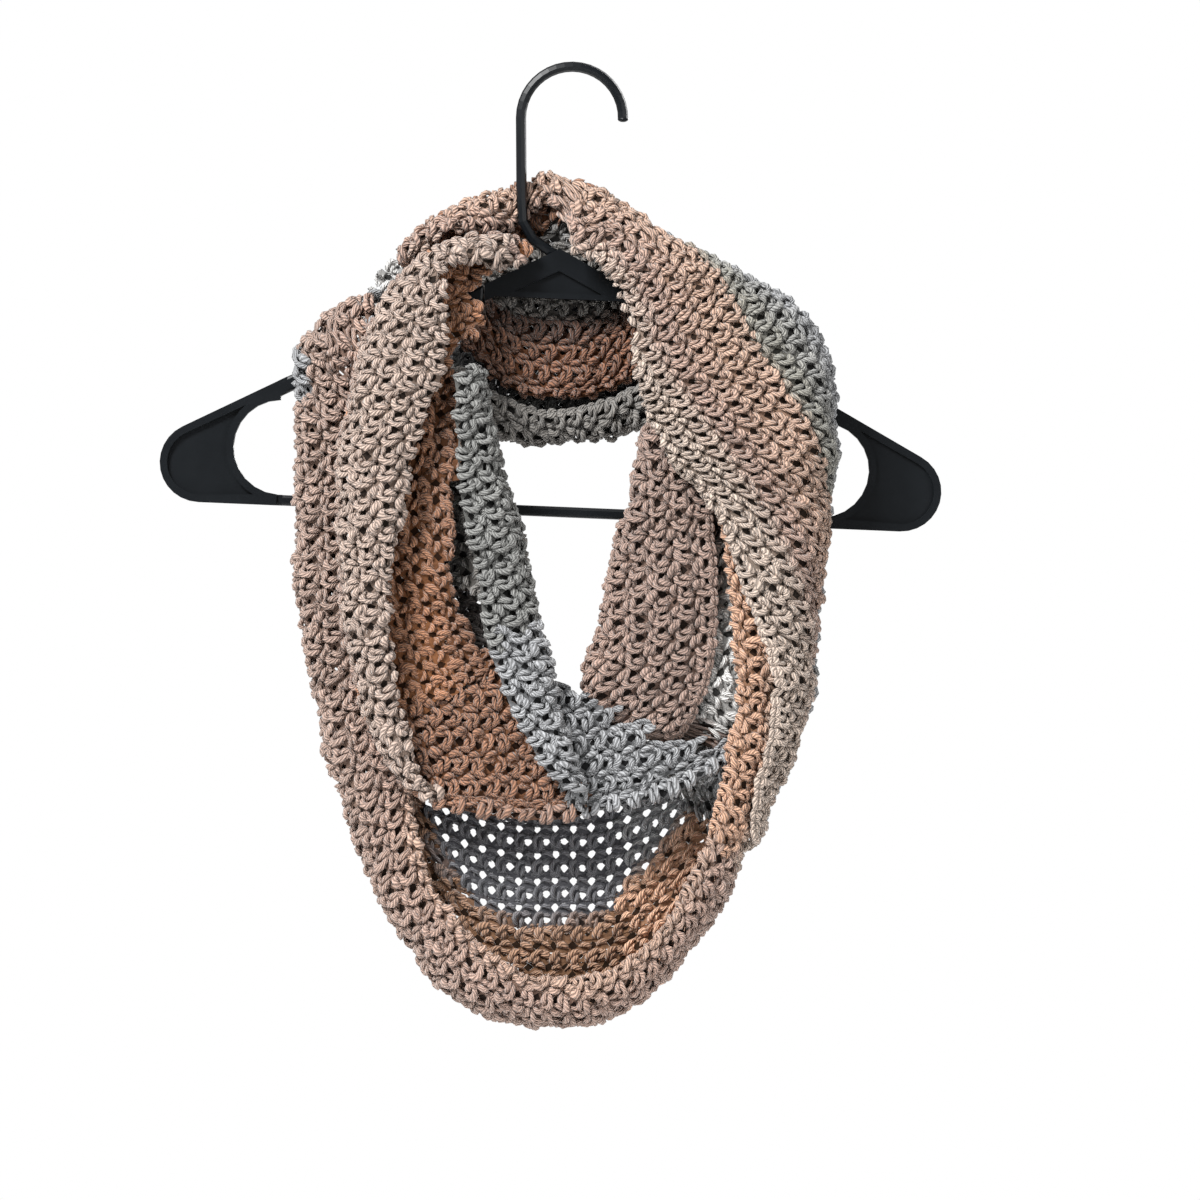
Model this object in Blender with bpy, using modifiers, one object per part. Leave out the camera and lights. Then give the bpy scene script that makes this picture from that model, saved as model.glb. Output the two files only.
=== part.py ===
"""Infinity scarf of open crochet, hung doubled on a black plastic clothes hanger.

World axes: +X to the right of the front, +Y to the back, +Z up, in metres.
The origin is the inner top of the hanger's hook, where it hangs on a rail.
Every size below is in millimetres and is turned into metres as it is used.
"""

import math
from collections import namedtuple

import bmesh
import bpy
import numpy as np
from mathutils import Matrix, Vector

MM = 0.001
SEAM = 0.3  # gap between neighbouring pieces

# ---- Hanger ----------------------------------------------------------------
HOOK_ROD = 5.6
HOOK_RADIUS = 27.6  # of the rod's centre line
HOOK_DROP = HOOK_RADIUS - HOOK_ROD / 2  # from the mount down to the arc's centre
STEM_BEND = ((-27.3, -69.0), (-26.6, -81.0), (-21.0, -90.5), (-12.0, -97.0), (-3.5, -102.0))
SHOULDER_APEX = (-6.5, -97.4)  # where the two shoulder arms would meet
BODY_TILT = 2.4  # degrees: the right shoulder hangs lower
ARM_SLOPE = 27.5  # degrees
ARM_DEEP = 8.0
ARM_THICK = 9.0
ARM_DROP = 3.0  # the arms' centre lines cross this far below the apex
YOKE_HALF = 40.0  # half the width of the solid yoke between the arms
YOKE_FOOT = -25.5
YOKE_WEB = 4.0
YOKE_POCKET = ((-24.0, -22.5), (0.0, -10.5), (24.0, -22.5))  # the hollow on each of its faces
PADDLE_INNER = 147.5
PADDLE_FOOT = -143.5
PADDLE_END = (190.0, -122.0, 21.5)  # centre and radius of the rounded end
PADDLE_EYE = (146.5, -112.0, 25.6)  # centre and radius of the open bow
PADDLE_RIM = 4.0
PADDLE_WEB = 3.0
POCKET_ARC = (-62.0, 48.0)  # degrees of the bow that the paddle's hollow follows
BAR_DEEP = 5.7

# ---- Cloth -----------------------------------------------------------------
WALL = 3.0
ACROSS = 13  # points across a section
STATION = 15.0  # distance between sections along a pass
EDGE_CURL = 2.5  # the free edge of a front face turns back this far
PUFF = 2.0  # a wide front face swells forward this far

# A section of the cloth lies in an upright plane and is shaped like a lying U: a
# front face from its free edge to a rounded fold, and a rear face from the fold
# inwards. x, z: the outside of the fold. lean: the direction from the fold
# towards the free edges, in degrees above +X. lip: length of the front face.
# rear: length of the rear face. front_y, rear_y: depth of the two faces, and
# end_y: depth of the rear face at its free end.
Section = namedtuple("Section", "x z lean lip rear front_y rear_y end_y")

# From the left shoulder down the left arm, round the bottom and up the right arm.
OUTER_PASS = (
    (-108, -119, -67, 18, 12, -18, 4, 4),
    (-125, -126, -46, 32, 12, -24, 4, 4),
    (-140, -142, -34, 44, 12, -26, -6.4, -6.4),
    (-150, -152, -24, 51, 15, -26, -6.4, -6.4),
    (-152, -164, -14, 54, 60, -26, -6.4, -6.4),
    (-149, -177, -7, 54, 95, -26, -6.4, -6.4),
    (-149, -205, -3, 57, 100, -26, -6.4, -6.4),
    (-150, -242, 0, 57, 105, -26, -6.4, -6.4),
    (-147, -297, 6, 53, 112, -26, -7, -7),
    (-137, -348, 17, 48, 117, -26, -8, -8),
    (-123, -400, 29, 41, 124, -30, -9, -9),
    (-101, -451, 44, 31, 131, -40, -10, -10),
    (-71, -493, 59, 32, 146, -48, -10, -10),
    (-31, -514, 74, 28, 149, -52, -10, -10),
    (10, -513, 86, 25, 142, -54, -10, -10),
    (42, -497, 95, 24, 129, -54, -10, -10),
    (72, -463, 112, 25, 99, -54, -10, -10),
    (90, -430, 131, 25, 77, -54, -11, -11),
    (103, -392, 150, 24, 63, -53, -12, -12),
    (114, -360, 162, 27, 65, -51, -12, -12),
    (123, -329, 172, 35, 70, -49, -12, -12),
    (128, -297, 176, 42, 74, -47, -12, -12),
    (129, -264, 180, 48, 75, -45, -12, -12),
    (130, -232, 180, 53, 76, -43, -12, -12),
    (130, -205, 180, 54, 75, -42, -12, -12),
)
# From the left of the neck behind the hook, over the right shoulder and down.
TOP_PASS = (
    (-94, -96, -63, 7, 18, -10, 12, 16),
    (-76, -78, -67, 11, 22, -14, 14, 16),
    (-52, -68, -84, 17, 26, -8, 16, 16),
    (-28, -60, -87, 22, 26, 6, 16, 16),
    (-15, -54, -84, 17, 26, 4, 16, 16),
    (-9, -55, -77, 24, 20, -8, 16, 16),
    (7, -59, -100, 38, 20, -22, 16, 16),
    (31, -75, -117, 32, 20, -34, 16, 16),
    (61, -94, -146, 44, 20, -44, 15, 15),
    (94, -110, -150, 72, 21, -52, 13, 13),
    (121, -128, -153, 96, 22, -57, 8, 8),
    (139, -157, -161, 104, 24, -60, -6.4, -6.4),
    (142, -194, -168, 90, 60, -60, -6.4, -6.4),
    (140, -232, -179, 68, 85, -59, -6.4, -6.4),
    (136, -267, -182, 42, 85, -58, -6.4, -6.4),
    (133, -302, -178, 27, 75, -57, -6.4, -6.4),
    (128, -340, -180, 16, 60, -57, -6.4, -6.4),
    (118, -375, -190, 9, 40, -57, -6.4, -6.4),
    (104, -406, -204, 5, 20, -57, -6.4, -6.4),
    (99, -418, -207, 3, 8, -57, -6.4, -6.4),
)
# From the hook down the left arm and round the bottom of the short loop.
INNER_PASS = (
    (-25, -92, -87, 11, 10, -16, -7, -7),
    (-40, -89, -87, 18, 17, -26, -8, -8),
    (-57, -90, -70, 11, 32, -36, -10, -12),
    (-76, -96, -53, 14, 45, -44, -14, -18),
    (-92, -111, -38, 32, 54, -54, -22, -26),
    (-104, -129, -23, 42, 42, -60, -29.8, -36),
    (-114, -155, -12, 46, 54, -62, -29.8, -42),
    (-122, -188, -4, 44, 62, -63, -30.5, -44),
    (-126, -234, 0, 37, 60, -63, -30.5, -44),
    (-124, -278, 3, 27, 56, -62, -31.4, -42),
    (-119, -318, 14, 23, 66, -60, -34, -36),
    (-108, -357, 27, 20, 74, -56, -36, -36),
    (-93, -384, 48, 15, 80, -52, -38, -38),
    (-76, -394, 51, 3, 84, -50, -40, -40),
    (-49, -398, 63, 2, 74, -50, -40, -41),
    (-17, -401, 76, 2, 64, -51, -41, -42),
    (14, -397, 90, 2, 54, -52, -42, -43),
    (37, -392, 104, 2, 46, -52, -42, -44),
    (60, -384, 104, 2, 33, -50, -40, -42),
    (76, -375, 117, 2, 19, -46, -37, -39),
    (88, -366, 124, 2, 8, -42, -34, -35),
)
# The other edge of the short loop: the rolled lip beside the neck opening.
NECK_LIP = (
    (-51, -145, -168, 13, 28, -54, -27, -27),
    (-45, -175, -171, 18, 30, -57, -27, -27),
    (-40, -199, -173, 22, 36, -58, -27, -27),
    (-32, -229, -175, 27, 44, -58, -27, -27),
    (-24, -261, -175, 29, 48, -58, -27, -27),
    (-17, -294, -175, 30, 16, -58, -38, -38),
    (-11, -321, -169, 29, 12, -58, -44, -44),
    (-4, -348, -160, 24, 12, -58, -48, -48),
    (3, -372, -160, 16, 10, -59, -49.2, -49.2),
    (10, -392, -159, 5, 6, -60, -50.9, -50.9),
)
# The short loop's right arm, from under the right front down into its trough.
INNER_RIGHT = (
    (45, -161, -8, 19, 50, -34, -20, -20),
    (40, -191, -5, 31, 55, -42, -20, -20),
    (29, -232, 3, 44, 64, -44, -20, -20),
    (19, -275, 0, 57, 74, -44, -20, -20),
    (11, -310, -2, 64, 82, -43, -20, -20),
    (6, -334, -2, 64, 84, -40, -20, -20),
    (10, -348, -1, 54, 80, -38.5, -20, -20),
    (21, -359, 9, 30, 70, -34, -20, -20),
)
# Behind the hanger, left to right; its fold is the rolled rim under the neck.
BACK_NECK = (
    (-130, -138, -52, 6, 12, 7.3, 13, 12),
    (-142, -152, -25, 8, 18, 7.3, 14, 13),
    (-147, -166, -2, 9, 22, 7, 15, 14),
    (-144, -182, 28, 10, 24, 7, 15, 14),
    (-136, -193, 58, 12, 32, 7, 17, 15),
    (-121, -199, 84, 15, 68, 8, 21, 19.3),
    (-107, -200, 89, 17, 86, 8.5, 24, 19.8),
    (-92, -199, 90, 19, 103, 9, 26, 19.8),
    (-63, -196, 93, 36, 110, 9, 28, 19.8),
    (-39, -199, 94, 22, 118, 9, 30, 19.8),
    (-15, -201, 94, 17, 130, 9, 31, 19.8),
    (15, -199, 88, 19, 124, 9, 30, 19.8),
    (42, -192, 87, 23, 100, 9, 28, 19.8),
    (72, -191, 88, 19, 82, 9, 24, 19.8),
    (107, -191, 90, 16, 58, 8, 20, 16.5),
    (123, -187, 108, 13, 46, 7.5, 17, 14),
    (134, -178, 145, 10, 26, 7, 15, 13),
    (137, -165, 180, 8, 20, 7, 14, 13),
    (131, -152, 212, 6, 14, 7.3, 13, 12),
)
# The second layer behind the yoke, left to right, hanging inside the back neck.
BACK_LINER = (
    (-63, -142, 90, 3, 38, 6, 14, 16.8),
    (-49, -161, 90, 2, 60, 6, 14, 16.8),
    (-28, -174, 90, 2, 75, 6, 14, 16.8),
    (-6, -178, 90, 2, 80, 6, 14, 16.8),
    (18, -175, 90, 2, 74, 6, 14, 16.8),
    (37, -162, 90, 2, 54, 6, 14, 16.8),
    (52, -148, 90, 2, 34, 6, 14, 16.8),
)
# name, its pass, its first and last section, and its colour
STRETCHES = (
    ("outer_left", OUTER_PASS, 0, 10, (0.36, 0.26, 0.22)),
    ("outer_bottom", OUTER_PASS, 10, 17, (0.35, 0.24, 0.19)),
    ("outer_right", OUTER_PASS, 17, 24, (0.55, 0.33, 0.23)),
    ("over_hook", TOP_PASS, 0, 3, (0.45, 0.28, 0.23)),
    ("right_front", TOP_PASS, 3, 19, (0.46, 0.34, 0.29)),
    ("inner_left", INNER_PASS, 0, 11, (0.48, 0.37, 0.31)),
    ("inner_bottom", INNER_PASS, 11, 20, (0.40, 0.24, 0.17)),
    ("neck_lip", NECK_LIP, 0, 9, (0.33, 0.34, 0.34)),
    ("inner_right", INNER_RIGHT, 0, 7, (0.38, 0.28, 0.23)),
    ("back_neck", BACK_NECK, 0, 18, (0.30, 0.30, 0.31)),
    ("back_liner", BACK_LINER, 0, 6, (0.40, 0.22, 0.15)),
)


def clear_scene():
    for old in list(bpy.data.objects):
        bpy.data.objects.remove(old, do_unlink=True)


def collection(name):
    made = bpy.data.collections.new(name)
    bpy.context.scene.collection.children.link(made)
    return made


def material(name, colour, roughness):
    made = bpy.data.materials.new(name)
    made.use_nodes = True
    shader = made.node_tree.nodes["Principled BSDF"]
    shader.inputs["Base Color"].default_value = (*colour, 1.0)
    shader.inputs["Roughness"].default_value = roughness
    shader.inputs["Metallic"].default_value = 0.0
    return made


def add_object(name, data, home, paint, parent=None):
    made = bpy.data.objects.new(name, data)
    home.objects.link(made)
    made.data.materials.append(paint)
    made.parent = parent
    return made


# ---- The hanger's pieces ---------------------------------------------------
def flat_plate(name, outline, thick, home, paint, parent):
    """A plate in the hanger's plane: an outline of (x, z) points, filled and extruded."""
    curve = bpy.data.curves.new(name, "CURVE")
    curve.dimensions = "2D"
    curve.fill_mode = "BOTH"
    curve.extrude = thick * MM / 2
    line = curve.splines.new("POLY")
    line.points.add(len(outline) - 1)
    for point, (x, z) in zip(line.points, outline):
        point.co = (x * MM, z * MM, 0.0, 1.0)
    line.use_cyclic_u = True
    plate = add_object(name, curve, home, paint, parent)
    plate.rotation_euler = (math.pi / 2, 0.0, 0.0)
    return plate


def arc(centre_x, centre_z, radius, start, end, steps):
    """Points on an arc, with its angles in degrees from +X towards +Z."""
    for step in range(steps + 1):
        turn = math.radians(start + (end - start) * step / steps)
        yield centre_x + radius * math.cos(turn), centre_z + radius * math.sin(turn)


def paddle_outline(side, inset, eye_arc):
    """The rounded end of a shoulder, between the open bow and the tip. eye_arc: the bow's angles."""
    end_x, end_z, end_radius = PADDLE_END
    eye_x, eye_z, eye_radius = PADDLE_EYE
    return [
        (side * x, z)
        for x, z in (
            *arc(end_x, end_z, end_radius - inset, 90 - ARM_SLOPE, -90, 12),
            *arc(eye_x, eye_z, eye_radius + inset, *eye_arc, 12),
        )
    ]


def boolean(target, cutter, operation):
    cut = target.modifiers.new(cutter.name, "BOOLEAN")
    cut.operation = operation
    cut.object = cutter


def curve_to_mesh(obj, home):
    """The curve as a closed mesh object, which a Boolean can take."""
    graph = bpy.context.evaluated_depsgraph_get()
    mesh = bpy.data.meshes.new_from_object(obj.evaluated_get(graph))
    shape = bmesh.new()
    shape.from_mesh(mesh)
    bmesh.ops.remove_doubles(shape, verts=shape.verts, dist=1e-6)
    bmesh.ops.recalc_face_normals(shape, faces=shape.faces)
    shape.to_mesh(mesh)
    shape.free()
    name, parent, place = obj.name, obj.parent, obj.matrix_basis.copy()
    bpy.data.objects.remove(obj, do_unlink=True)
    made = bpy.data.objects.new(name, mesh)
    home.objects.link(made)
    made.parent = parent
    made.matrix_basis = place
    return made


def helper(obj):
    obj.hide_render = True
    obj.display_type = "WIRE"
    return obj


def build_hook(home, paint):
    """The hook and its stem: one rod, bent over into the right shoulder."""
    curve = bpy.data.curves.new("hanger_hook", "CURVE")
    curve.dimensions = "3D"
    curve.bevel_depth = HOOK_ROD * MM / 2
    curve.bevel_resolution = 2
    curve.use_fill_caps = True
    path = list(arc(0.0, -HOOK_DROP, HOOK_RADIUS, -2.0, 180.0, 20)) + list(STEM_BEND)
    line = curve.splines.new("POLY")
    line.points.add(len(path) - 1)
    for point, (x, z) in zip(line.points, path):
        point.co = (x * MM, 0.0, z * MM, 1.0)
    return add_object("hanger_hook", curve, home, paint)


def build_yoke(home, cutters, paint, body):
    """The yoke where hook and shoulders meet: a web with raised edges."""
    slope = math.tan(math.radians(ARM_SLOPE))
    half_deep = ARM_DEEP / 2 / math.cos(math.radians(ARM_SLOPE))
    at_end = -ARM_DROP - YOKE_HALF * slope
    outline = [
        (-YOKE_HALF, at_end + half_deep),
        (0.0, half_deep - ARM_DROP),
        (YOKE_HALF, at_end + half_deep),
        (YOKE_HALF, at_end - half_deep),
        (YOKE_HALF - 6.0, YOKE_FOOT),
        (6.0 - YOKE_HALF, YOKE_FOOT),
        (-YOKE_HALF, at_end - half_deep),
    ]
    yoke = curve_to_mesh(flat_plate("hanger_neck", outline, ARM_THICK, home, paint, body), home)
    for face in (-1, 1):
        pocket = flat_plate(f"yoke_pocket_{face}", YOKE_POCKET, ARM_THICK, cutters, paint, body)
        pocket.location.y = face * (ARM_THICK + YOKE_WEB) / 2 * MM
        boolean(yoke, helper(curve_to_mesh(pocket, cutters)), "DIFFERENCE")
    return yoke


def build_arm(side, home, paint, body):
    """One sloping shoulder arm, from the yoke to its paddle."""
    slope = math.radians(ARM_SLOPE)
    start = YOKE_HALF + SEAM
    end = PADDLE_INNER - SEAM
    middle = (start + end) / 2
    bpy.ops.mesh.primitive_cube_add(size=1.0)
    arm = bpy.context.object
    arm.name = "hanger_arm_right" if side > 0 else "hanger_arm_left"
    shear = Matrix(((1, 0, 0), (0, 1, 0), (-side * math.tan(slope), 0, 1)))
    size = Matrix.Diagonal(Vector((end - start, ARM_THICK, ARM_DEEP / math.cos(slope))) * MM)
    arm.data.transform((shear @ size).to_4x4())
    arm.location = (side * middle * MM, 0.0, (-ARM_DROP - middle * math.tan(slope)) * MM)
    return finish_beam(arm, home, paint, body)


def build_bar(home, paint, body):
    bpy.ops.mesh.primitive_cube_add(size=1.0)
    bar = bpy.context.object
    bar.name = "hanger_bar"
    size = Vector((2 * (PADDLE_INNER - SEAM), BAR_DEEP, BAR_DEEP)) * MM
    bar.data.transform(Matrix.Diagonal(size).to_4x4())
    bar.location = (0.0, 0.0, (PADDLE_FOOT + BAR_DEEP / 2) * MM)
    return finish_beam(bar, home, paint, body)


def finish_beam(beam, home, paint, body):
    for place in list(beam.users_collection):
        place.objects.unlink(beam)
    home.objects.link(beam)
    beam.data.materials.append(paint)
    beam.parent = body
    rounded = beam.modifiers.new("rounded", "BEVEL")
    rounded.width = 1.5 * MM
    rounded.segments = 2
    return beam


def build_paddle(side, home, cutters, paint, body):
    """A flat shoulder end with a raised rim round a thin web."""
    name = "hanger_paddle_right" if side > 0 else "hanger_paddle_left"
    eye_reach = math.degrees(math.acos((PADDLE_INNER - PADDLE_EYE[0]) / PADDLE_EYE[2]))
    outline = paddle_outline(side, 0.0, (-eye_reach, eye_reach))
    upper = ARM_DEEP / 2 / math.cos(math.radians(ARM_SLOPE))
    arm_top = -ARM_DROP - PADDLE_INNER * math.tan(math.radians(ARM_SLOPE)) + upper
    outline.insert(13, (side * PADDLE_INNER, PADDLE_FOOT))
    outline.append((side * PADDLE_INNER, arm_top))
    plate = curve_to_mesh(flat_plate(name, outline, ARM_THICK, home, paint, body), home)
    for face in (-1, 1):
        hollow = flat_plate(f"{name}_hollow_{face}", paddle_outline(side, PADDLE_RIM, POCKET_ARC),
                            ARM_THICK, cutters, paint, body)
        hollow.location.y = face * (ARM_THICK + PADDLE_WEB) / 2 * MM
        boolean(plate, helper(curve_to_mesh(hollow, cutters)), "DIFFERENCE")
    return plate


def build_hanger(home, cutters):
    black = material("black moulded plastic", (0.012, 0.012, 0.013), 0.38)
    body = bpy.data.objects.new("hanger_body", None)
    home.objects.link(body)
    body.location = (SHOULDER_APEX[0] * MM, 0.0, SHOULDER_APEX[1] * MM)
    body.rotation_euler = (0.0, math.radians(BODY_TILT), 0.0)
    yoke = build_yoke(home, cutters, black, body)
    hook = helper(curve_to_mesh(build_hook(cutters, black), cutters))
    boolean(yoke, hook, "UNION")
    build_bar(home, black, body)
    for side in (-1, 1):
        build_arm(side, home, black, body)
        build_paddle(side, home, cutters, black, body)


# ---- The cloth -------------------------------------------------------------
def smooth(values, knots, at):
    """Cubic Hermite interpolation of rows of values, with slopes taken from the neighbours."""
    slopes = np.gradient(values, knots, axis=0)
    cell = np.clip(np.searchsorted(knots, at, side="right") - 1, 0, len(knots) - 2)
    width = (knots[cell + 1] - knots[cell])[:, None]
    t = ((at - knots[cell]) / (knots[cell + 1] - knots[cell]))[:, None]
    return (
        (2 * t**3 - 3 * t**2 + 1) * values[cell]
        + (t**3 - 2 * t**2 + t) * width * slopes[cell]
        + (3 * t**2 - 2 * t**3) * values[cell + 1]
        + (t**3 - t**2) * width * slopes[cell + 1]
    )


def spread(line, count):
    """The same line with `count` points at even distances."""
    steps = np.linalg.norm(np.diff(line, axis=0), axis=1)
    run = np.concatenate([[0.0], np.cumsum(steps)])
    even = np.linspace(0.0, run[-1], count)
    return np.stack([np.interp(even, run, column) for column in line.T], axis=1)


def section_line(row):
    """The middle of the wall in one section, free edge first, as (x, y, z) points in mm."""
    half_gap = (row.rear_y - row.front_y) / 2
    middle_y = (row.rear_y + row.front_y) / 2
    turn = half_gap
    lip = max(row.lip - WALL / 2, 0.5)
    rear = max(row.rear - WALL / 2, 0.5)
    first = math.acos(max(1 - lip / turn, 0.0))
    last = math.acos(max(1 - rear / turn, 0.0))
    angle = np.linspace(first, -last, 17)
    line = [np.stack([turn * (1 - np.cos(angle)), middle_y - half_gap * np.sin(angle)], axis=1)]
    if lip > turn + 1.0:
        share = np.linspace(1.0, 0.0, 12, endpoint=False)
        reach = turn + (lip - turn) * share
        swell = PUFF * np.sin(math.pi * share) * min((lip - turn) / 30.0, 1.0)
        curl = EDGE_CURL * share**4 * min((lip - turn) / 8.0, 1.0)
        line.insert(0, np.stack([reach, row.front_y - swell + curl], axis=1))
    if rear > turn + 1.0:
        share = np.linspace(0.0, 1.0, 15)[1:]
        ease = share * share * (3 - 2 * share)
        line.append(np.stack([turn + (rear - turn) * share,
                              row.rear_y + (row.end_y - row.rear_y) * ease], axis=1))
    path = spread(np.concatenate(line), ACROSS)
    inward, depth = path[:, 0] + WALL / 2, path[:, 1]
    lean = math.radians(row.lean)
    return np.stack([row.x + inward * math.cos(lean), depth, row.z + inward * math.sin(lean)], axis=1)


def section_knots(rows):
    """Distance along a pass to each of its sections, halfway up the front face."""
    lean = np.radians(rows[:, 2])
    reach = 20.0
    middle = rows[:, :2] + reach * np.stack([np.cos(lean), np.sin(lean)], axis=1)
    return np.concatenate([[0.0], np.cumsum(np.linalg.norm(np.diff(middle, axis=0), axis=1) + 1.0)])


def stretch_grid(rows, first, last):
    """Sections of one stretch, closer together at its two ends so that seams meet squarely."""
    values = np.array(rows, float)
    knots = section_knots(values)
    start = knots[first] + (SEAM if first > 0 else 0.0)
    end = knots[last] - (SEAM if last < len(rows) - 1 else 0.0)
    count = max(int((end - start) / STATION), 4)
    inner = np.linspace(start, end, count + 1)[1:-1]
    at = np.concatenate([[start, start + 1.5], inner, [end - 1.5, end]])
    return np.stack([section_line(Section(*row)) for row in smooth(values, knots, at)])


def build_stretch(name, rows, first, last, colour, home):
    """A stretch of the cloth: a lofted surface, thickened to the wall."""
    grid = stretch_grid(rows, first, last) * MM
    stations, across = grid.shape[:2]
    faces = [
        (i * across + j, (i + 1) * across + j, (i + 1) * across + j + 1, i * across + j + 1)
        for i in range(stations - 1)
        for j in range(across - 1)
    ]
    mesh = bpy.data.meshes.new(name)
    mesh.from_pydata(grid.reshape(-1, 3).tolist(), [], faces)
    cloth = add_object(name, mesh, home, material(f"cotton yarn, {name}", colour, 0.9))
    wall = cloth.modifiers.new("wall", "SOLIDIFY")
    wall.thickness = WALL * MM
    wall.offset = 0.0
    return cloth


def main():
    clear_scene()
    home = collection("infinity scarf on a hanger")
    cutters = collection("cutters")
    build_hanger(home, cutters)
    for name, rows, first, last, colour in STRETCHES:
        build_stretch(name, rows, first, last, colour, home)


main()
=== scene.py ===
# %% [markdown]
# # An infinity scarf of open crochet, hung doubled on a clothes hanger
#
# The real scarf is one long band of cotton yarn, about 0.23 m wide, joined into
# a loop. It hangs twice round the neck of a black plastic hanger, and each pass
# of the band rolls into its own fold. The drape here is made in code from short
# tables of sections, with no cloth simulation, and the crochet is then laid on
# the draped band stitch by stitch with Geometry Nodes.

# %% Start
import math
from collections import namedtuple

import bmesh
import bpy
import numpy as np
from mathutils import Matrix, Vector


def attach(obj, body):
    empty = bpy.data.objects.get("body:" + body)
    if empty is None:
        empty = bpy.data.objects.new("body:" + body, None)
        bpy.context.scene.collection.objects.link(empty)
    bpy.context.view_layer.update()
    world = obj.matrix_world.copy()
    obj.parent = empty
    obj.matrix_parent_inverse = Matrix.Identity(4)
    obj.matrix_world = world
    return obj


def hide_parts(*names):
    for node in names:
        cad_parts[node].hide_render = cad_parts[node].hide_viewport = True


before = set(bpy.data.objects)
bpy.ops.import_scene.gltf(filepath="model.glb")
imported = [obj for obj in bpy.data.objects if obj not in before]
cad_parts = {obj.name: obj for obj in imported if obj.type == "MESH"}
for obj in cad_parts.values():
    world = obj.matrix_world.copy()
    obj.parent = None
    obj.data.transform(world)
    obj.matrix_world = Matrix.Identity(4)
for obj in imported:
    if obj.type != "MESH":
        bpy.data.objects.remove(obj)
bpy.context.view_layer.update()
MM = 0.001

# %% [markdown]
# ## Camera, floor and light
#
# The scarf is seen straight from the front with a long lens, so that nothing is
# foreshortened. A pale floor lies well below the loop. One large soft light
# stands to the upper left in front, with a weak one opposite and a third behind
# for the back, and a pale world fills the shadows, as in a small product studio.


# %% Camera
def link_object(name, data):
    made = bpy.data.objects.new(name, data)
    bpy.context.scene.collection.objects.link(made)
    return made


VIEW_WIDTH = 0.6494
VIEW_X, VIEW_Z = 0.01515, -0.2858
DISTANCE = 4.5
SENSOR = 36.0
camera_data = bpy.data.cameras.new("camera")
camera_data.lens = SENSOR * DISTANCE / VIEW_WIDTH
camera_data.sensor_width = SENSOR
camera_data.clip_end = 30.0
camera = link_object("camera", camera_data)
camera.location = (VIEW_X, -DISTANCE, VIEW_Z)
camera.rotation_euler = (math.pi / 2, 0.0, 0.0)
bpy.context.scene.camera = camera
print("view", VIEW_WIDTH, "m wide, from", camera.location[:])


# %% Nodes and materials
def connect(tree, node, links):
    """Sets a node's inputs, given by number or name, to values or to sockets."""
    for key, value in dict(links).items():
        if isinstance(value, bpy.types.NodeSocket):
            tree.links.new(value, node.inputs[key])
        else:
            node.inputs[key].default_value = value


def add_node(tree, kind, links=(), **settings):
    """A node with its settings and its inputs."""
    made = tree.nodes.new(kind)
    for key, value in settings.items():
        setattr(made, key, value)
    connect(tree, made, links)
    return made


def new_material(name, values):
    """A material, its node tree and its Principled shader with these input values."""
    paint = bpy.data.materials.new(name)
    paint.use_nodes = True
    shader = paint.node_tree.nodes["Principled BSDF"]
    connect(paint.node_tree, shader, values)
    return paint, paint.node_tree, shader


print("helpers", [helper.__name__ for helper in (connect, add_node, new_material)])

# %% Floor
FLOOR_Z = -0.72
FLOOR_HALF = 1.1
floor_paint, floor_tree, floor_shader = new_material("matt white paint", {"Roughness": 0.9})
grain = add_node(floor_tree, "ShaderNodeTexNoise", {"Scale": 40.0, "Detail": 2.0}).outputs[0]
shade = add_node(floor_tree, "ShaderNodeMapRange", {"Value": grain, "To Min": 0.86, "To Max": 0.90})
connect(floor_tree, floor_shader, {"Base Color": shade.outputs[0]})
floor_mesh = bpy.data.meshes.new("floor")
corners = [(x * FLOOR_HALF, y * FLOOR_HALF, FLOOR_Z) for x, y in ((-1, -1), (1, -1), (1, 1), (-1, 1))]
floor_mesh.from_pydata(corners, [], [(0, 1, 2, 3)])
floor_mesh.materials.append(floor_paint)
link_object("floor", floor_mesh)
print("floor at", FLOOR_Z)

# %% Lights
LIT = Vector((0.0, 0.0, -0.26))  # what all the lights point at
for name, place, power, size in (
    ("key light", (-1.15, -1.75, 1.35), 122.0, 0.8),
    ("fill light", (1.6, -2.2, 0.2), 18.0, 1.2),
    ("back light", (1.0, 2.1, 0.5), 50.0, 1.4),
):
    light_data = bpy.data.lights.new(name, "AREA")
    light_data.energy = power
    light_data.size = size
    light = link_object(name, light_data)
    light.location = place
    light.rotation_euler = (LIT - Vector(place)).to_track_quat("-Z", "Y").to_euler()
    print(name, power, "W")

# %% World
world = bpy.data.worlds.new("pale studio")
world.use_nodes = True
seen = add_node(world.node_tree, "ShaderNodeLightPath").outputs["Is Camera Ray"]
strength = add_node(world.node_tree, "ShaderNodeMapRange", {"Value": seen, "To Min": 0.30, "To Max": 1.0})
white = {"Color": (1.0, 1.0, 1.0, 1.0), "Strength": strength.outputs[0]}
connect(world.node_tree, world.node_tree.nodes["Background"], white)
bpy.context.scene.world = world
bpy.context.scene.view_settings.view_transform = "Standard"
print("world", world.name)

# %% [markdown]
# ## Moulded plastic
#
# The hanger is one injection moulding in black plastic. Its skin has a fine
# satin grain, so highlights are soft and slightly broken: a low bump does that,
# and a broad noise varies the gloss and the tint a little.


# %% Black plastic
def linear(code):
    """An sRGB hex colour as linear RGBA."""
    parts = [int(code[i:i + 2], 16) / 255 for i in (1, 3, 5)]
    return (*(c / 12.92 if c <= 0.04045 else ((c + 0.055) / 1.055) ** 2.4 for c in parts), 1.0)


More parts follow.
